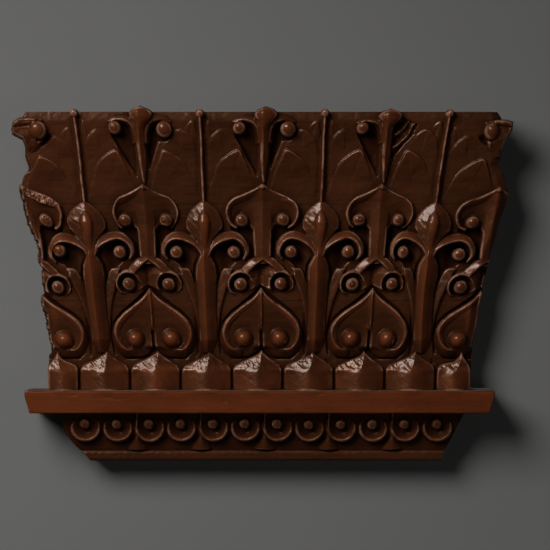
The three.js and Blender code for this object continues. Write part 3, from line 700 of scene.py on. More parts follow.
# Proud parts and the leaves at the foot are rubbed red and also lightened as painted sheen, where light would
# make them glow.
proud_rub_and_sheen_map = np.clip((blur(seen, 3) - blur(seen, 18) - 0.6) / 5.0, 0, 1) * smooth((to_edge - 4) / 8)
foot_leaf_rub_and_sheen = smooth((flat_z - 78) / 2) * smooth((112 - flat_z) / 10) * (seen > ground + 3)
RUB_AND_SHEEN_SHARES = {"stem": 0.62, "heart": 0.95, "frieze": 0.75}  # hands rub these the most; the share also sets how much painted sheen they get
rub_and_sheen_by_part = np.full(flat_x.shape, 0.4)
for name, (part, depth) in ornaments.items():
    share = RUB_AND_SHEEN_SHARES.get(name.split("_")[0])
    if share:
        rub_and_sheen_by_part[part] = np.where(depth > seen[part] - 0.05, share, rub_and_sheen_by_part[part])
proud_rub_and_sheen_map = np.maximum(proud_rub_and_sheen_map * rub_and_sheen_by_part, foot_leaf_rub_and_sheen * (0.40 + 0.30 * noise(flat_x, flat_z, 14, 20)))


def sample(values, x, z):
    """Bilinear look-up of a map."""
    u = np.clip((x - columns[0]) / STEP, 0, len(columns) - 1.001)
    v = np.clip((z - rows[0]) / STEP, 0, len(rows) - 1.001)
    j, i = u.astype(int), v.astype(int)
    fu, fv = u - j, v - i
    low = values[i, j] * (1 - fu) + values[i, j + 1] * fu
    high = values[i + 1, j] * (1 - fu) + values[i + 1, j + 1] * fu
    return low * (1 - fv) + high * fv


# ---- Meshes ----
def make_mesh(name, points, groups):
    """points are in millimetres. groups are (faces, smooth, material), a face being vertex numbers."""
    mesh = bpy.data.meshes.new(name)
    counts, loops, shades, slots = [], [], [], []
    for faces, is_smooth, slot in groups:
        if len(faces) == 0:
            continue
        if isinstance(faces, np.ndarray):
            counts.append(np.full(len(faces), faces.shape[1]))
            loops.append(faces.ravel())
        else:
            counts.append(np.array([len(f) for f in faces]))
            loops.append(np.concatenate([np.array(f) for f in faces]))
        shades.append(np.full(len(faces), is_smooth))
        slots.append(np.full(len(faces), slot))
    counts, loops = np.concatenate(counts), np.concatenate(loops)
    world = np.array(points, float) * MM
    mesh.vertices.add(len(world))
    mesh.vertices.foreach_set("co", world.ravel())
    mesh.loops.add(len(loops))
    mesh.loops.foreach_set("vertex_index", loops.astype(np.int32))
    mesh.polygons.add(len(counts))
    mesh.polygons.foreach_set("loop_start", (np.cumsum(counts) - counts).astype(np.int32))
    mesh.polygons.foreach_set("use_smooth", np.concatenate(shades))
    mesh.polygons.foreach_set("material_index", np.concatenate(slots).astype(np.int32))
    mesh.update(calc_edges=True)
    mesh.validate()
    return mesh


def set_wear_and_painted_light(mesh):
    """Stores at each point how worn the carving is (and its painted highlight), how sunken (its painted
    shade) and how proud (its rubbing and painted sheen), for the materials.
    """
    co = np.zeros(len(mesh.vertices) * 3)
    mesh.vertices.foreach_get("co", co)
    x, z = co[0::3] / MM, co[2::3] / MM + MOUNT_HEIGHT
    for label, values in (("wear_and_highlight", wear_and_highlight_map), ("hollow_shade", hollow_shade_map), ("proud_rub_and_sheen", proud_rub_and_sheen_map)):
        attribute = mesh.attributes.new(label, "FLOAT", "POINT")
        attribute.data.foreach_set("value", sample(values, x, z).astype(np.float32))


def in_scene(name, data):
    """An object made from a mesh, curve, light or camera, and put in the scene."""
    made = bpy.data.objects.new(name, data)
    bpy.context.scene.collection.objects.link(made)
    return made


def place(name, mesh, materials):
    """Puts a mesh in the scene as the looks of the CAD node of that name."""
    piece = in_scene(name + "_carved", mesh)
    for material in materials:
        mesh.materials.append(material)
    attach(piece, "root")
    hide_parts(name)


def final_mesh(thing):
    """The mesh of an object with its modifiers or curve settings applied. The object is removed."""
    ready = thing.evaluated_get(bpy.context.evaluated_depsgraph_get())
    mesh = bpy.data.meshes.new_from_object(ready)
    bpy.data.objects.remove(thing)
    return mesh


SKIRT, SUNK = 1.2, 3.0  # how far an ornament's front and back run on below the ground


def carving_mesh(name, part, depth):
    """The part of a depth map that stands out of the ground, closed by a back that lies in the wood."""
    x, z, floor = flat_x[part], flat_z[part], ground[part].copy()
    on_panel = (into_left[part] > 0) & (into_right[part] > 0) & (z < PANEL_TOP)
    base = np.where(z < GROUND_SPLIT, low_ground[part], bell[part])
    floor = np.where(on_panel, floor, base - SUNK)
    rim = floor - SKIRT
    out = depth > rim
    cells = out[:-1, :-1] | out[1:, :-1] | out[:-1, 1:] | out[1:, 1:]
    used = np.zeros(out.shape, bool)
    for di, dj in ((0, 0), (1, 0), (0, 1), (1, 1)):
        used[di:used.shape[0] - 1 + di, dj:used.shape[1] - 1 + dj] |= cells
    number = np.full(out.shape, -1)
    number[used] = np.arange(used.sum())
    count = int(used.sum())

    # Points that lie outside are drawn in to the outline, so that a cut edge isn't stepped.
    gap = depth - rim
    dz, dx = np.gradient(gap, STEP)
    steep = dx * dx + dz * dz + 1e-6
    move = np.where(gap < 0, np.clip(-gap / np.sqrt(steep), 0, STEP * 0.75) / np.sqrt(steep), 0)
    px, pz = x + move * dx, z + move * dz
    front_depth = np.where(gap < 0, rim, depth)
    back_depth = np.minimum(front_depth, floor) - SUNK
    front = np.stack([px[used], -front_depth[used], pz[used] - MOUNT_HEIGHT], 1)
    back = np.stack([px[used], -back_depth[used], pz[used] - MOUNT_HEIGHT], 1)

    i, j = np.nonzero(cells)
    quads = np.stack([number[i, j], number[i, j + 1], number[i + 1, j + 1], number[i + 1, j]], 1)
    padded = np.pad(cells, 1)
    walls = []
    for di, dj, first, second in ((0, -1, (0, 0), (1, 0)), (0, 1, (1, 1), (0, 1)),
                                  (-1, 0, (0, 1), (0, 0)), (1, 0, (1, 0), (1, 1))):
        open_side = cells & ~padded[1 + di:padded.shape[0] - 1 + di, 1 + dj:padded.shape[1] - 1 + dj]
        wi, wj = np.nonzero(open_side)
        a, b = number[wi + first[0], wj + first[1]], number[wi + second[0], wj + second[1]]
        walls.append(np.stack([a, b, b + count, a + count], 1))
    walls = np.concatenate(walls)
    points = np.concatenate([front, back])
    mesh = make_mesh(name, points, [(quads, True, 0), (quads[:, ::-1] + count, False, 1), (walls, False, 0)])
    set_wear_and_painted_light(mesh)
    return mesh


def spaced(low, high, step):
    return np.linspace(low, high, max(2, int(round((high - low) / step)) + 1))


def spaced_runs(stops, step):
    """Values spaced along the runs between neighbouring stops, and the number of the run each is in."""
    runs = [spaced(a, b, step) for a, b in zip(stops[:-1], stops[1:])]
    return np.concatenate(runs), np.repeat(np.arange(len(runs)), [len(run) for run in runs])


def board_mesh(name, low, high, inner, depth_at, ends_at, step):
    """A board with a carved front, a flat back, and channels in the back for the battens."""
    half = BATTEN_WIDTH / 2 + GAP
    stops = [-inner, -BATTEN_X - half, -BATTEN_X + half, BATTEN_X - half, BATTEN_X + half, inner]
    fixed, run = spaced_runs(stops, step)
    in_channel = (run == 1) | (run == 3)

    top_of_channel = BATTEN_HIGH + GAP
    foot_of_channel = BATTEN_LOW - GAP
    cuts = sorted({low, high} | {z for z in (foot_of_channel, top_of_channel) if low < z < high})
    heights, run = spaced_runs(cuts, step)
    row_in_channel = (np.array(cuts)[run] >= foot_of_channel) & (np.array(cuts)[run + 1] <= top_of_channel)

    left, right = ends_at(heights)
    side_count = max(4, int(round((max(-left.min(), right.max()) - inner) / step)))
    t = (np.arange(side_count) + 1) / side_count
    left_x = -inner + (left[:, None] + inner) * t[::-1]
    right_x = inner + (right[:, None] - inner) * t
    x = np.concatenate([left_x, np.tile(fixed, (len(heights), 1)), right_x], 1)
    channel = np.concatenate([np.zeros(side_count, bool), in_channel, np.zeros(side_count, bool)])
    z = np.tile(heights[:, None], (1, x.shape[1]))
    depth = depth_at(x, z)

    # The back needs only every eighth row, and the two ends of each run.
    joins = np.diff(heights) == 0
    every_eighth = np.arange(len(heights)) % 8 == 0
    picks = np.flatnonzero(np.append(True, joins) | np.append(joins, True) | every_eighth)
    sunk = channel[None, :] & row_in_channel[picks][:, None]
    back_y = np.where(sunk, -(BATTEN_DEPTH + GAP), 0.0)

    front = np.stack([x, -depth, z - MOUNT_HEIGHT], -1).reshape(-1, 3)
    back = np.stack([x[picks], back_y, z[picks] - MOUNT_HEIGHT], -1).reshape(-1, 3)
    wide = x.shape[1]
    number = np.arange(x.size).reshape(x.shape)
    behind = np.arange(len(picks) * wide).reshape(len(picks), wide) + x.size

    def quads(grid):
        return np.stack([grid[:-1, :-1], grid[:-1, 1:], grid[1:, 1:], grid[1:, :-1]], -1).reshape(-1, 4)

    faces = quads(number)
    backs = quads(behind)[:, ::-1]
    foot = np.stack([number[0, :-1], behind[0, :-1], behind[0, 1:], number[0, 1:]], 1)
    roof = np.stack([number[-1, :-1], number[-1, 1:], behind[-1, 1:], behind[-1, :-1]], 1)
    points = np.concatenate([front, back])
    _, first, same = np.unique(np.round(points, 4), axis=0, return_index=True, return_inverse=True)
    same = same.ravel()

    def welded(face_list):
        kept = []
        for face in face_list:
            ring = [same[v] for k, v in enumerate(face) if same[v] != same[face[k - 1]]]
            if len(set(ring)) > 2 and len(set(ring)) == len(ring):
                kept.append(ring)
        return kept

    def quick_weld(quad_array):
        joined = same[quad_array]
        ordered = np.sort(joined, axis=1)
        whole = (np.diff(ordered, axis=1) > 0).all(1)
        return joined[whole], welded(quad_array[~whole])

    sides = []
    for column, flip in ((0, False), (wide - 1, True)):
        for k, (a, b) in enumerate(zip(picks[:-1], picks[1:])):
            ring = list(number[a:b + 1, column]) + [behind[k + 1, column], behind[k, column]]
            sides.append(ring[::-1] if flip else ring)
    groups = []
    front_look, bare_look = (True, 0), (False, 1)  # whether it is shaded smooth, and its material
    for quad_array, look in ((faces, front_look), (backs, bare_look), (foot, bare_look), (roof, bare_look)):
        whole, rest = quick_weld(quad_array)
        groups += [(whole, *look), (rest, *look)]
    groups.append((welded(sides), *bare_look))
    mesh = make_mesh(name, points[first], groups)
    mesh.set_sharp_from_angle(angle=math.radians(72))
    set_wear_and_painted_light(mesh)
    return mesh


# ---- Materials ----
class Nodes:
    """A material's node tree, built with short calls."""

    def __init__(self, name):
        self.material = bpy.data.materials.new(name)
        self.material.use_nodes = True
        self.tree = self.material.node_tree
        self.shader = self.tree.nodes["Principled BSDF"]

    def feed(self, socket, value):
        """Links another node's output to a socket, or sets the socket to a plain value."""
        if isinstance(value, bpy.types.NodeSocket):
            self.tree.links.new(value, socket)
        else:
            socket.default_value = value

    def node(self, kind, **inputs):
        made = self.tree.nodes.new(kind)
        for key, value in inputs.items():
            label = key.replace("_", " ")
            if label in made.inputs:
                self.feed(made.inputs[label], value)
            else:
                setattr(made, key, value)
        return made

    def math(self, operation, a, b=0.5, clamp=False):
        made = self.node("ShaderNodeMath", operation=operation, use_clamp=clamp)
        self.feed(made.inputs[0], a)
        self.feed(made.inputs[1], b)
        return made.outputs[0]

    def times(self, a, b, clamp=False):
        return self.math("MULTIPLY", a, b, clamp)

    def mix(self, share, a, b):
        """A mix of two colours, each a node's output or a plain red, green and blue."""
        made = self.node("ShaderNodeMix", data_type="RGBA")
        self.feed(made.inputs[0], share)
        for socket, color in ((made.inputs[6], a), (made.inputs[7], b)):
            self.feed(socket, (*color, 1) if isinstance(color, tuple) else color)
        return made.outputs[2]

    def stretch(self, value, low, high, to_low=0.0, to_high=1.0):
        made = self.node("ShaderNodeMapRange", Value=value, From_Min=low, From_Max=high, To_Min=to_low,
                         To_Max=to_high)
        return made.outputs[0]

    def noise(self, scale, detail=3.0, roughness=0.5, stretch=(1, 1, 1)):
        where = self.node("ShaderNodeTexCoord").outputs["Object"]
        mapped = self.node("ShaderNodeMapping", Vector=where, Scale=stretch).outputs[0]
        return self.node("ShaderNodeTexNoise", Vector=mapped, Scale=scale, Detail=detail,
                         Roughness=roughness).outputs[0]

    def attribute(self, label):
        return self.node("ShaderNodeAttribute", attribute_name=label).outputs["Fac"]

    def finish(self, color, roughness, bump_height, bump_strength, bump_distance=0.001):
        bump = self.node("ShaderNodeBump", Height=bump_height, Strength=bump_strength, Distance=bump_distance)
        for label, value in (("Base Color", color), ("Roughness", roughness), ("Normal", bump.outputs[0])):
            self.feed(self.shader.inputs[label], value)
        return self.material


GLOSS = 0.36  # roughness of the polish
RUBBED_RED_AND_SHEEN = (0.135, 0.031, 0.0095)  # where hands have rubbed the wood back to its own red, and a painted sheen that makes proud parts glow
# worn pale edges, made lighter still as a painted highlight on the arrises
WORN_EDGE_AND_HIGHLIGHT = (0.27, 0.135, 0.085)
DUST = (0.16, 0.12, 0.085)


def wood(name, dark, light, worn, pore_and_shade_color, grain_contrast, wear_share, coat, rub_and_sheen_share=0.0):
    """Polished hardwood whose grain runs along x, worn pale on the edges with a painted highlight on the
    sharpest arrises, rubbed red with painted sheen on proud parts, and darkened in the hollows as painted
    shade.
    """
    n = Nodes(name)
    rings = n.noise(1.0, 5, 0.62, (7, 70, 70))
    streaks = n.noise(1.0, 4, 0.55, (22, 420, 420))
    pores = n.noise(1.0, 2, 0.5, (130, 1500, 1500))
    patches = n.noise(9.0, 3, 0.5)
    figure = n.math("ADD", n.times(rings, 0.55), n.times(streaks, 0.45))
    shade = n.stretch(figure, 0.5 - grain_contrast * 0.3, 0.5 + grain_contrast * 0.3)
    color = n.mix(shade, dark, light)
    color = n.mix(n.stretch(patches, 0.40, 0.72, 0.0, 0.35), color, worn)
    wear_and_highlight = n.times(n.attribute("wear_and_highlight"), n.stretch(n.noise(60.0, 4, 0.6), 0.3, 0.6, 0.4, 1.0))
    color = n.mix(n.times(wear_and_highlight, wear_share, True), color, worn)
    # Rubbed red on proud parts: partly real rubbing, partly painted sheen.
    proud_rub_and_sheen = n.math("POWER", n.attribute("proud_rub_and_sheen"), 1.3)
    color = n.mix(n.times(proud_rub_and_sheen, rub_and_sheen_share, True), color, RUBBED_RED_AND_SHEEN)
    # Worn pale edges: partly real wear, partly a painted highlight on the arrises.
    edge_wear_and_highlight = n.times(n.stretch(n.attribute("wear_and_highlight"), 0.42, 0.85), n.stretch(n.noise(90.0, 3, 0.6), 0.3, 0.6))
    color = n.mix(n.times(edge_wear_and_highlight, rub_and_sheen_share, True), color, WORN_EDGE_AND_HIGHLIGHT)
    # Painted shade: the hollows are mixed towards a near-black colour.
    hollow_shade = n.attribute("hollow_shade")
    color = n.mix(n.times(hollow_shade, 0.8, True), color, pore_and_shade_color)
    pits = n.stretch(pores, 0.60, 0.68)
    color = n.mix(n.times(pits, 0.45), color, pore_and_shade_color)
    rough = n.stretch(n.noise(35.0, 4, 0.6), 0.3, 0.7, GLOSS - 0.05, GLOSS + 0.09)
    rough = n.math("SUBTRACT", rough, n.times(wear_and_highlight, 0.08), True)
    # The polish is thinner in the hollows, and their reflections are dimmed there as painted shade.
    lacquer = n.times(n.math("SUBTRACT", 1.0, n.times(hollow_shade, 1.4), True), coat)
    n.feed(n.shader.inputs["Specular IOR Level"], n.math("SUBTRACT", 0.42, n.times(hollow_shade, 0.42), True))
    n.feed(n.shader.inputs["Specular Tint"], (1.0, 0.50, 0.24, 1))
    n.feed(n.shader.inputs["Coat Weight"], lacquer)
    n.feed(n.shader.inputs["Coat Roughness"], 0.2)
    tool = n.noise(170.0, 2, 0.5)
    height = n.math("ADD", n.times(tool, 0.5), n.times(streaks, 0.35))
    height = n.math("SUBTRACT", height, n.times(pits, 0.18))
    return n.finish(color, rough, height, 0.35, 0.0006)


def sawn_wood(name, dark, light):
    """Bare wood with saw marks and dust, for backs and cut ends."""
    n = Nodes(name)
    grain = n.noise(1.0, 5, 0.6, (9, 120, 120))
    saw = n.noise(1.0, 2, 0.5, (30, 30, 900))
    dust = n.noise(26.0, 5, 0.6)
    color = n.mix(n.stretch(grain, 0.3, 0.7), dark, light)
    color = n.mix(n.stretch(dust, 0.45, 0.75, 0.0, 0.4), color, DUST)
    height = n.math("ADD", n.times(saw, 0.6), n.times(grain, 0.4))
    return n.finish(color, n.stretch(dust, 0.2, 0.8, 0.62, 0.9), height, 0.5, 0.0008)


def metal(name, base, tarnish, rough):
    n = Nodes(name)
    patch = n.noise(160.0, 5, 0.65)
    scratch = n.noise(1.0, 3, 0.6, (2600, 300, 900))
    n.feed(n.shader.inputs["Metallic"], 0.92)
    height = n.math("ADD", n.times(patch, 0.6), n.times(scratch, 0.4))
    return n.finish(n.mix(n.stretch(patch, 0.42, 0.68), base, tarnish),
                    n.stretch(patch, 0.3, 0.7, rough, rough + 0.3), height, 0.25, 0.0003)


carved_wood = wood("polished carved wood", (0.0195, 0.0053, 0.0019), (0.040, 0.0113, 0.0040),
                   (0.078, 0.0225, 0.0078), (0.010, 0.0036, 0.0018), 0.5, 0.5, 0.45, 0.8)
rail_wood = wood("waxed rail wood", (0.058, 0.0125, 0.0038), (0.105, 0.0225, 0.0066), (0.135, 0.032, 0.010),
                 (0.015, 0.005, 0.003), 0.6, 0.3, 0.2)
side_wood = sawn_wood("bare sawn wood", (0.045, 0.020, 0.012), (0.10, 0.048, 0.028))
batten_wood = sawn_wood("bare batten wood", (0.12, 0.075, 0.045), (0.21, 0.14, 0.085))
brass = metal("tarnished brass", (0.42, 0.27, 0.10), (0.10, 0.065, 0.032), 0.32)
steel = metal("dull steel", (0.30, 0.285, 0.27), (0.13, 0.075, 0.045), 0.42)

# ---- The carving ----
for name, (part, depth) in ornaments.items():
    place(name, carving_mesh(name, part, depth), [carved_wood, side_wood])


def ground_depth(x, z):
    return sample(ground, x, z)


RAIL_DENTS = [  # x, z, half width, half height, depth
    (-168, 71.5, 10, 2.6, 0.5), (-158, 69.5, 6, 1.8, 0.4), (-41, 67, 3.2, 2.4, 0.6), (-205, 74, 3, 1.8, 0.5),
    (62, 75, 5, 1.5, 0.6), (150, 60, 4, 1.2, 0.4),
]


def rail_ends(z):
    return knots(z, (54, -253.5), (73, -259), (78, -259)), knots(z, (54, 247), (71, 252.5), (78, 253))


def rail_depth(x, z):
    """A planed face with eased edges, a few dents and a worn lip."""
    left, right = rail_ends(z)
    from_end = np.minimum(x - left, right - x)
    ease = 1.5 + texture(x, z * 0, 51, (0.5, 23), (0.4, 6))
    depth = RAIL_DEPTH + texture(x, z, 53, (0.10, 30), (0.05, 4))
    depth = depth - eased(RAIL_TOP - z, ease) - eased(z - (FRIEZE_TOP + GAP), ease * 0.8)
    depth = depth - eased(from_end, 1.2)
    for at_x, at_z, wide, tall, deep in RAIL_DENTS:
        depth = depth - deep * np.exp(-(((x - at_x) / wide) ** 2 + ((z - at_z) / tall) ** 2) * 1.5)
    return depth


def base_ends(z):
    return knots(z, (0, -190), (4, -193.5), (11, -200)), knots(z, (0, 196.5), (3, 198), (11, 200))


def base_depth(x, z):
    rise = np.clip((z - 7.5) / 3.5, 0, 1)
    fall = np.clip((2.5 - z) / 2.5, 0, 1)
    wander = 0.3 * noise(x, z * 0, 19, 61) + 0.2 * noise(x, z, 4, 62)
    return BASE_DEPTH + wander - 3.5 * (1 - np.sqrt(1 - rise**2 * 0.98)) - 1.6 * fall**2


BOARDS = [  # name, foot, top, half width of the part with upright columns, front, ends, spacing of the points
    ("lower_board", RAIL_TOP + GAP, LOWER_TOP, 205.0, ground_depth, edges_at, BOARD_STEP),
    ("middle_board", LOWER_TOP + GAP, MIDDLE_TOP, 215.0, ground_depth, edges_at, BOARD_STEP),
    ("upper_board", MIDDLE_TOP + GAP, PANEL_TOP, 225.0, ground_depth, edges_at, BOARD_STEP),
    ("frieze_board", BASE_TOP + GAP, FRIEZE_TOP, 180.0, ground_depth, edges_at, BOARD_STEP),
    ("rail", FRIEZE_TOP + GAP, RAIL_TOP, 235.0, rail_depth, rail_ends, 0.7),
    ("base_fillet", 0.0, BASE_TOP, 180.0, base_depth, base_ends, 0.6),
]
for name, *shape in BOARDS:
    front, slot = (rail_wood, "rail_wood") if name == "rail" else (carved_wood, "carved_wood")
    place(name, board_mesh(name, *shape), [front, side_wood])

# ---- The back: battens, keyhole plates and screws ----
BATTEN_SCREW_Z = (36.0, 130.0, 293.0)
BATTEN_SCREW = (4.5, 32.0)  # head radius and length
PLATE_SCREW = (3.0, 13.0)
SHANK_SHARE = 0.45  # the shank's radius as a share of the head's
SCREW_SLOT_HALF = 0.55
PLATE_SCREW_OFFSETS = (-20, 20)  # below and above the middle of the plate
HANGER_Z = 330.0  # the middle of the plate
PLATE_WIDTH, PLATE_HEIGHT, PLATE_THICKNESS = 20.0, 50.0, 2.5
KEYHOLE_Z = HANGER_Z - 4
KEYHOLE_RADIUS = 4.8
SLOT_HALF = 2.4
POCKET_HALF_WIDTH, POCKET_HALF_HEIGHT, POCKET_DEPTH = 6, 11, 11.0  # room for the wall screw's head


def batten_mesh(name, middle):
    """A batten whose back is a depth map: eased edges, the plate's recess, a pocket and screw holes."""
    half = BATTEN_WIDTH / 2
    across, up = spaced(-half, half, 0.6), spaced(BATTEN_LOW, BATTEN_HIGH, 0.6)
    x, z = np.meshgrid(across, up)
    from_edge = np.minimum.reduce([x + half, half - x, z - BATTEN_LOW, BATTEN_HIGH - z])
    sunk = eased(from_edge, 1.2)
    sunk = sunk + 0.10 * (1 + noise(x + middle, z, 9, 71)) + 0.06 * (1 + noise(x * 0.1, z + middle, 0.9, 72))
    recess = (np.abs(x) < PLATE_WIDTH / 2 + GAP) & (np.abs(z - HANGER_Z) < PLATE_HEIGHT / 2 + GAP)
    sunk = np.where(recess, PLATE_THICKNESS + GAP, sunk)
    pocket = (np.abs(x) < POCKET_HALF_WIDTH) & (np.abs(z - HANGER_Z + 1) < POCKET_HALF_HEIGHT)
    sunk = np.where(pocket, POCKET_DEPTH, sunk)
    head, _ = BATTEN_SCREW
    for screw_z in BATTEN_SCREW_Z:
        around = np.hypot(x, z - screw_z)
        cone = over(head + GAP - around)
        sunk = np.maximum(sunk, np.where(around < head * SHANK_SHARE + GAP, 14.0, cone))
    number = np.arange(x.size).reshape(x.shape)
    border = np.concatenate([number[0, :-1], number[:-1, -1], number[-1, :0:-1], number[:0:-1, 0]])
    deep = np.arange(len(border)) + x.size
    back = np.stack([x + middle, -sunk, z - MOUNT_HEIGHT], -1).reshape(-1, 3)
    front = back[border].copy()
    front[:, 1] = -BATTEN_DEPTH
    quads = np.stack([number[:-1, :-1], number[1:, :-1], number[1:, 1:], number[:-1, 1:]], -1).reshape(-1, 4)
    walls = np.stack([border, np.roll(border, -1), np.roll(deep, -1), deep], 1)
    mesh = make_mesh(name, np.concatenate([back, front]),
                     [(quads, True, 0), (walls, False, 0), ([list(deep)], False, 0)])
    mesh.set_sharp_from_angle(angle=math.radians(40))
    return mesh


def screw_mesh(name, at, head, length, turn):
    """A countersunk screw driven in from the back, with rings for its thread and a slot turned by `turn`."""
    shank = head * SHANK_SHARE
    profile = [(0.0, 0.12), (head - 0.5, 0.12), (head - 0.15, 0.2), (head, 0.45), (shank, head - shank + 0.3)]
    ring = head - shank + 1.2
    while ring < length - 2.5 * shank:
        profile += [(shank * 0.72, ring), (shank, ring + 0.5)]
        ring += 1.3
    profile += [(shank * 0.7, length - 2 * shank), (0.0, length)]
    sides = 40
    angles = np.arange(sides) * 2 * math.pi / sides
    points = [(0.0, profile[0][1], 0.0)]
    for radius, depth in profile[1:-1]:
        points += [(radius * math.cos(a), depth, radius * math.sin(a)) for a in angles]
    points.append((0.0, profile[-1][1], 0.0))
    faces = []
    for k in range(sides):
        after = (k + 1) % sides
        faces.append([0, 1 + k, 1 + after])
        for row in range(len(profile) - 3):
            low, high = 1 + row * sides, 1 + (row + 1) * sides
            faces.append([low + k, high + k, high + after, low + after])
        last = 1 + (len(profile) - 3) * sides
        faces.append([last + k, len(points) - 1, last + after])
    world = [(at[0] + x, -y, at[1] + z - MOUNT_HEIGHT) for x, y, z in points]
    body = in_scene(name, make_mesh(name, world, [(faces, False, 0)]))
    block = []
    for y in (-1.0, 0.9):
        for along, across in ((-1, -1), (1, -1), (1, 1), (-1, 1)):
            px, pz = along * (head + 1), across * SCREW_SLOT_HALF
            block.append((at[0] + px * math.cos(turn) - pz * math.sin(turn), -y,
                          at[1] - MOUNT_HEIGHT + px * math.sin(turn) + pz * math.cos(turn)))
    box = [[0, 1, 2, 3], [7, 6, 5, 4], [0, 4, 5, 1], [1, 5, 6, 2], [2, 6, 7, 3], [3, 7, 4, 0]]
    cutter = in_scene(name + "_slot", make_mesh(name + "_slot", block, [(box, False, 0)]))
    slot = body.modifiers.new("slot", "BOOLEAN")
    slot.operation = "DIFFERENCE"
    slot.object = cutter
    mesh = final_mesh(body)
    bpy.data.objects.remove(cutter)
    mesh.polygons.foreach_set("use_smooth", np.ones(len(mesh.polygons), bool))
    mesh.set_sharp_from_angle(angle=math.radians(32))
    return mesh


def arc(x, z, radius, angles):
    return [(x + radius * math.cos(angle), z + radius * math.sin(angle)) for angle in angles]


def plate_mesh(name, middle):
    """A brass plate with rounded corners, eased edges, a keyhole and two screw holes."""
    ease = 0.25
    drawing = bpy.data.curves.new(name, "CURVE")
    drawing.dimensions = "2D"
    drawing.fill_mode = "BOTH"
    drawing.extrude = (PLATE_THICKNESS / 2 - ease) * MM
    drawing.bevel_depth = ease * MM
    drawing.bevel_resolution = 2
    drawing.offset = -ease * MM
    corner = 2.5
    corner_x, corner_z = PLATE_WIDTH / 2 - corner, PLATE_HEIGHT / 2 - corner
    outline = []
    for side_x, side_z, start in ((1, 1, 0), (-1, 1, 90), (-1, -1, 180), (1, -1, 270)):
        turn = np.radians(start + 15 * np.arange(7))
        outline += arc(side_x * corner_x, HANGER_Z + side_z * corner_z, corner, turn)
    gape = math.asin(SLOT_HALF / KEYHOLE_RADIUS)
    keyhole = arc(0, KEYHOLE_Z, KEYHOLE_RADIUS, math.pi / 2 - np.linspace(gape, 2 * math.pi - gape, 33))
    keyhole += arc(0, HANGER_Z + 8 - SLOT_HALF, SLOT_HALF, math.pi - np.linspace(0, math.pi, 13))
    holes = [arc(0, HANGER_Z + offset, PLATE_SCREW[0] + 0.1, np.arange(24) * math.pi / 12)
             for offset in PLATE_SCREW_OFFSETS]
    for ring in [outline, keyhole, *holes]:
        spline = drawing.splines.new("POLY")
        spline.points.add(len(ring) - 1)
        for point, (x, z) in zip(spline.points, ring):
            point.co = (x * MM, (z - MOUNT_HEIGHT) * MM, 0, 1)
        spline.use_cyclic_u = True
    mesh = final_mesh(in_scene(name, drawing))
    upright = Matrix.Rotation(math.radians(90), 4, "X")
    mesh.transform(Matrix.Translation((middle * MM, -PLATE_THICKNESS / 2 * MM, 0)) @ upright)
    return mesh


for side, side_name in ((-1, "left"), (1, "right")):
    middle = side * BATTEN_X
    place(f"back_batten_{side_name}", batten_mesh(f"batten_{side_name}", middle), [batten_wood])
    place(f"keyhole_plate_{side_name}", plate_mesh(f"plate_{side_name}", middle), [brass])
    for i, screw_z in enumerate(BATTEN_SCREW_Z):
        name = f"batten_screw_{side_name}_{i + 1}"
        screw = screw_mesh(name, (middle, screw_z), *BATTEN_SCREW, 0.7 * i + side)
        place(name, screw, [steel])
    for i, offset in enumerate(PLATE_SCREW_OFFSETS):
        name = f"plate_screw_{side_name}_{i + 1}"
        screw = screw_mesh(name, (middle, HANGER_Z + offset), *PLATE_SCREW, 1.1 * i - side)
        place(name, screw, [brass])

# ---- Stage, light and camera ----
FLOOR_Z, STAGE_TOP, STAGE_HALF = -0.58, 1.2, 1.5
WALL_GAP = 0.004  # between the panel's back and the wall


def corners(low, high):
    return [(-STAGE_HALF, low), (STAGE_HALF, low), (STAGE_HALF, high), (-STAGE_HALF, high)]


def stage_sheet(name, points, material):
    mesh = bpy.data.meshes.new(name)
    mesh.from_pydata(points, [], [(0, 1, 2, 3)])
    mesh.materials.append(material)
    made = in_scene(name, mesh)
    made.visible_glossy = False
    return made


paint = Nodes("pale floor")
tone = paint.mix(paint.noise(3.0, 3), (0.50, 0.50, 0.49), (0.56, 0.56, 0.55))
paint.finish(tone, paint.stretch(paint.noise(8.0, 3), 0.3, 0.7, 0.55, 0.7), paint.noise(300.0, 2), 0.05)
floor = stage_sheet("floor", [(x, y, FLOOR_Z) for x, y in corners(-STAGE_HALF, STAGE_HALF)], paint.material)
floor.visible_diffuse = False

# A grey wall just behind the panel takes its shadow. From behind it is see-through.
plaster = Nodes("grey wall")
up_wall = plaster.node("ShaderNodeSeparateXYZ", Vector=plaster.node("ShaderNodeTexCoord").outputs["Object"])
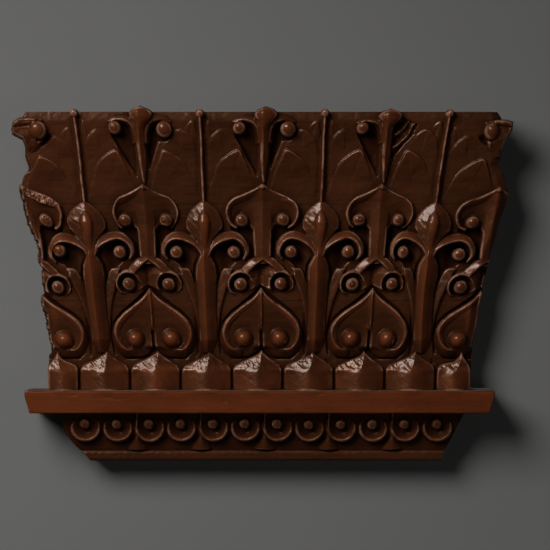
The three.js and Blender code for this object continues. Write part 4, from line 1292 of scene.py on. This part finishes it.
# Painted shade and light: the wall is lighter towards the bottom and darker towards the top, standing in for
# how the lamps light it.
painted_shade_up = plaster.stretch(up_wall.outputs[2], -0.35, 0.30)
tone = plaster.mix(painted_shade_up, (0.146, 0.145, 0.142), (0.094, 0.093, 0.090))
tone = plaster.mix(plaster.stretch(plaster.noise(2.0, 3), 0.3, 0.7, 0.0, 0.06), tone, (0.16, 0.16, 0.16))
chalky = plaster.stretch(plaster.noise(8.0, 3), 0.3, 0.7, 0.8, 0.9)
plaster.finish(tone, chalky, plaster.noise(400.0, 2), 0.03)
sides = plaster.node("ShaderNodeMixShader")
plaster.feed(sides.inputs[0], plaster.node("ShaderNodeNewGeometry").outputs["Backfacing"])
plaster.feed(sides.inputs[1], plaster.shader.outputs[0])
plaster.feed(sides.inputs[2], plaster.node("ShaderNodeBsdfTransparent").outputs[0])
plaster.feed(plaster.tree.nodes["Material Output"].inputs["Surface"], sides.outputs[0])
wall = stage_sheet("wall", [(x, WALL_GAP, z) for x, z in corners(FLOOR_Z, STAGE_TOP)], plaster.material)
wall.visible_shadow = False


def softbox(name, direction, distance, size, power, diffuse=True, glossy=True):
    """A round soft light that shines from a direction on the middle of the panel."""
    light = bpy.data.lights.new(name, "AREA")
    light.shape = "DISK"
    light.size = size
    light.energy = power
    lamp = in_scene(name, light)
    lamp.location = Vector(direction).normalized() * distance
    lamp.rotation_euler = Vector(direction).to_track_quat("Z", "Y").to_euler()
    lamp.visible_diffuse = diffuse
    lamp.visible_glossy = glossy
    lamp.visible_camera = False


softbox("key", (-0.45, -0.80, 0.42), 1.7, 0.95, 31, glossy=False)
softbox("gleam", (-0.50, -0.68, 0.52), 4.0, 1.76, 95, diffuse=False)
softbox("fill", (0.5, -1.0, -0.25), 2.6, 1.6, 5.0, glossy=False)
softbox("back", (0, 1.0, -0.03), 1.6, 0.45, 15)  # only for views from behind: the wall lets it through

world = bpy.data.worlds.new("studio")
world.use_nodes = True
sky = world.node_tree
seen_sky = sky.nodes["Background"]
seen_sky.inputs["Color"].default_value = (0.118, 0.114, 0.110, 1)
dim_sky = sky.nodes.new("ShaderNodeBackground")
dim_sky.inputs["Color"].default_value = (0.020, 0.020, 0.020, 1)
which = sky.nodes.new("ShaderNodeMixShader")
ray = sky.nodes.new("ShaderNodeLightPath")
sky.links.new(ray.outputs["Is Camera Ray"], which.inputs[0])
sky.links.new(dim_sky.outputs[0], which.inputs[1])
sky.links.new(seen_sky.outputs[0], which.inputs[2])
sky.links.new(which.outputs[0], sky.nodes["World Output"].inputs["Surface"])
bpy.context.scene.world = world

camera_data = bpy.data.cameras.new("camera")
camera_data.lens = 155
camera_data.sensor_width = 36
camera = in_scene("camera", camera_data)
camera.location = (0.01375, -2.65, -0.0254)
camera.rotation_euler = (math.radians(90), 0, 0)
bpy.context.scene.camera = camera
bpy.context.scene.view_settings.view_transform = "Standard"
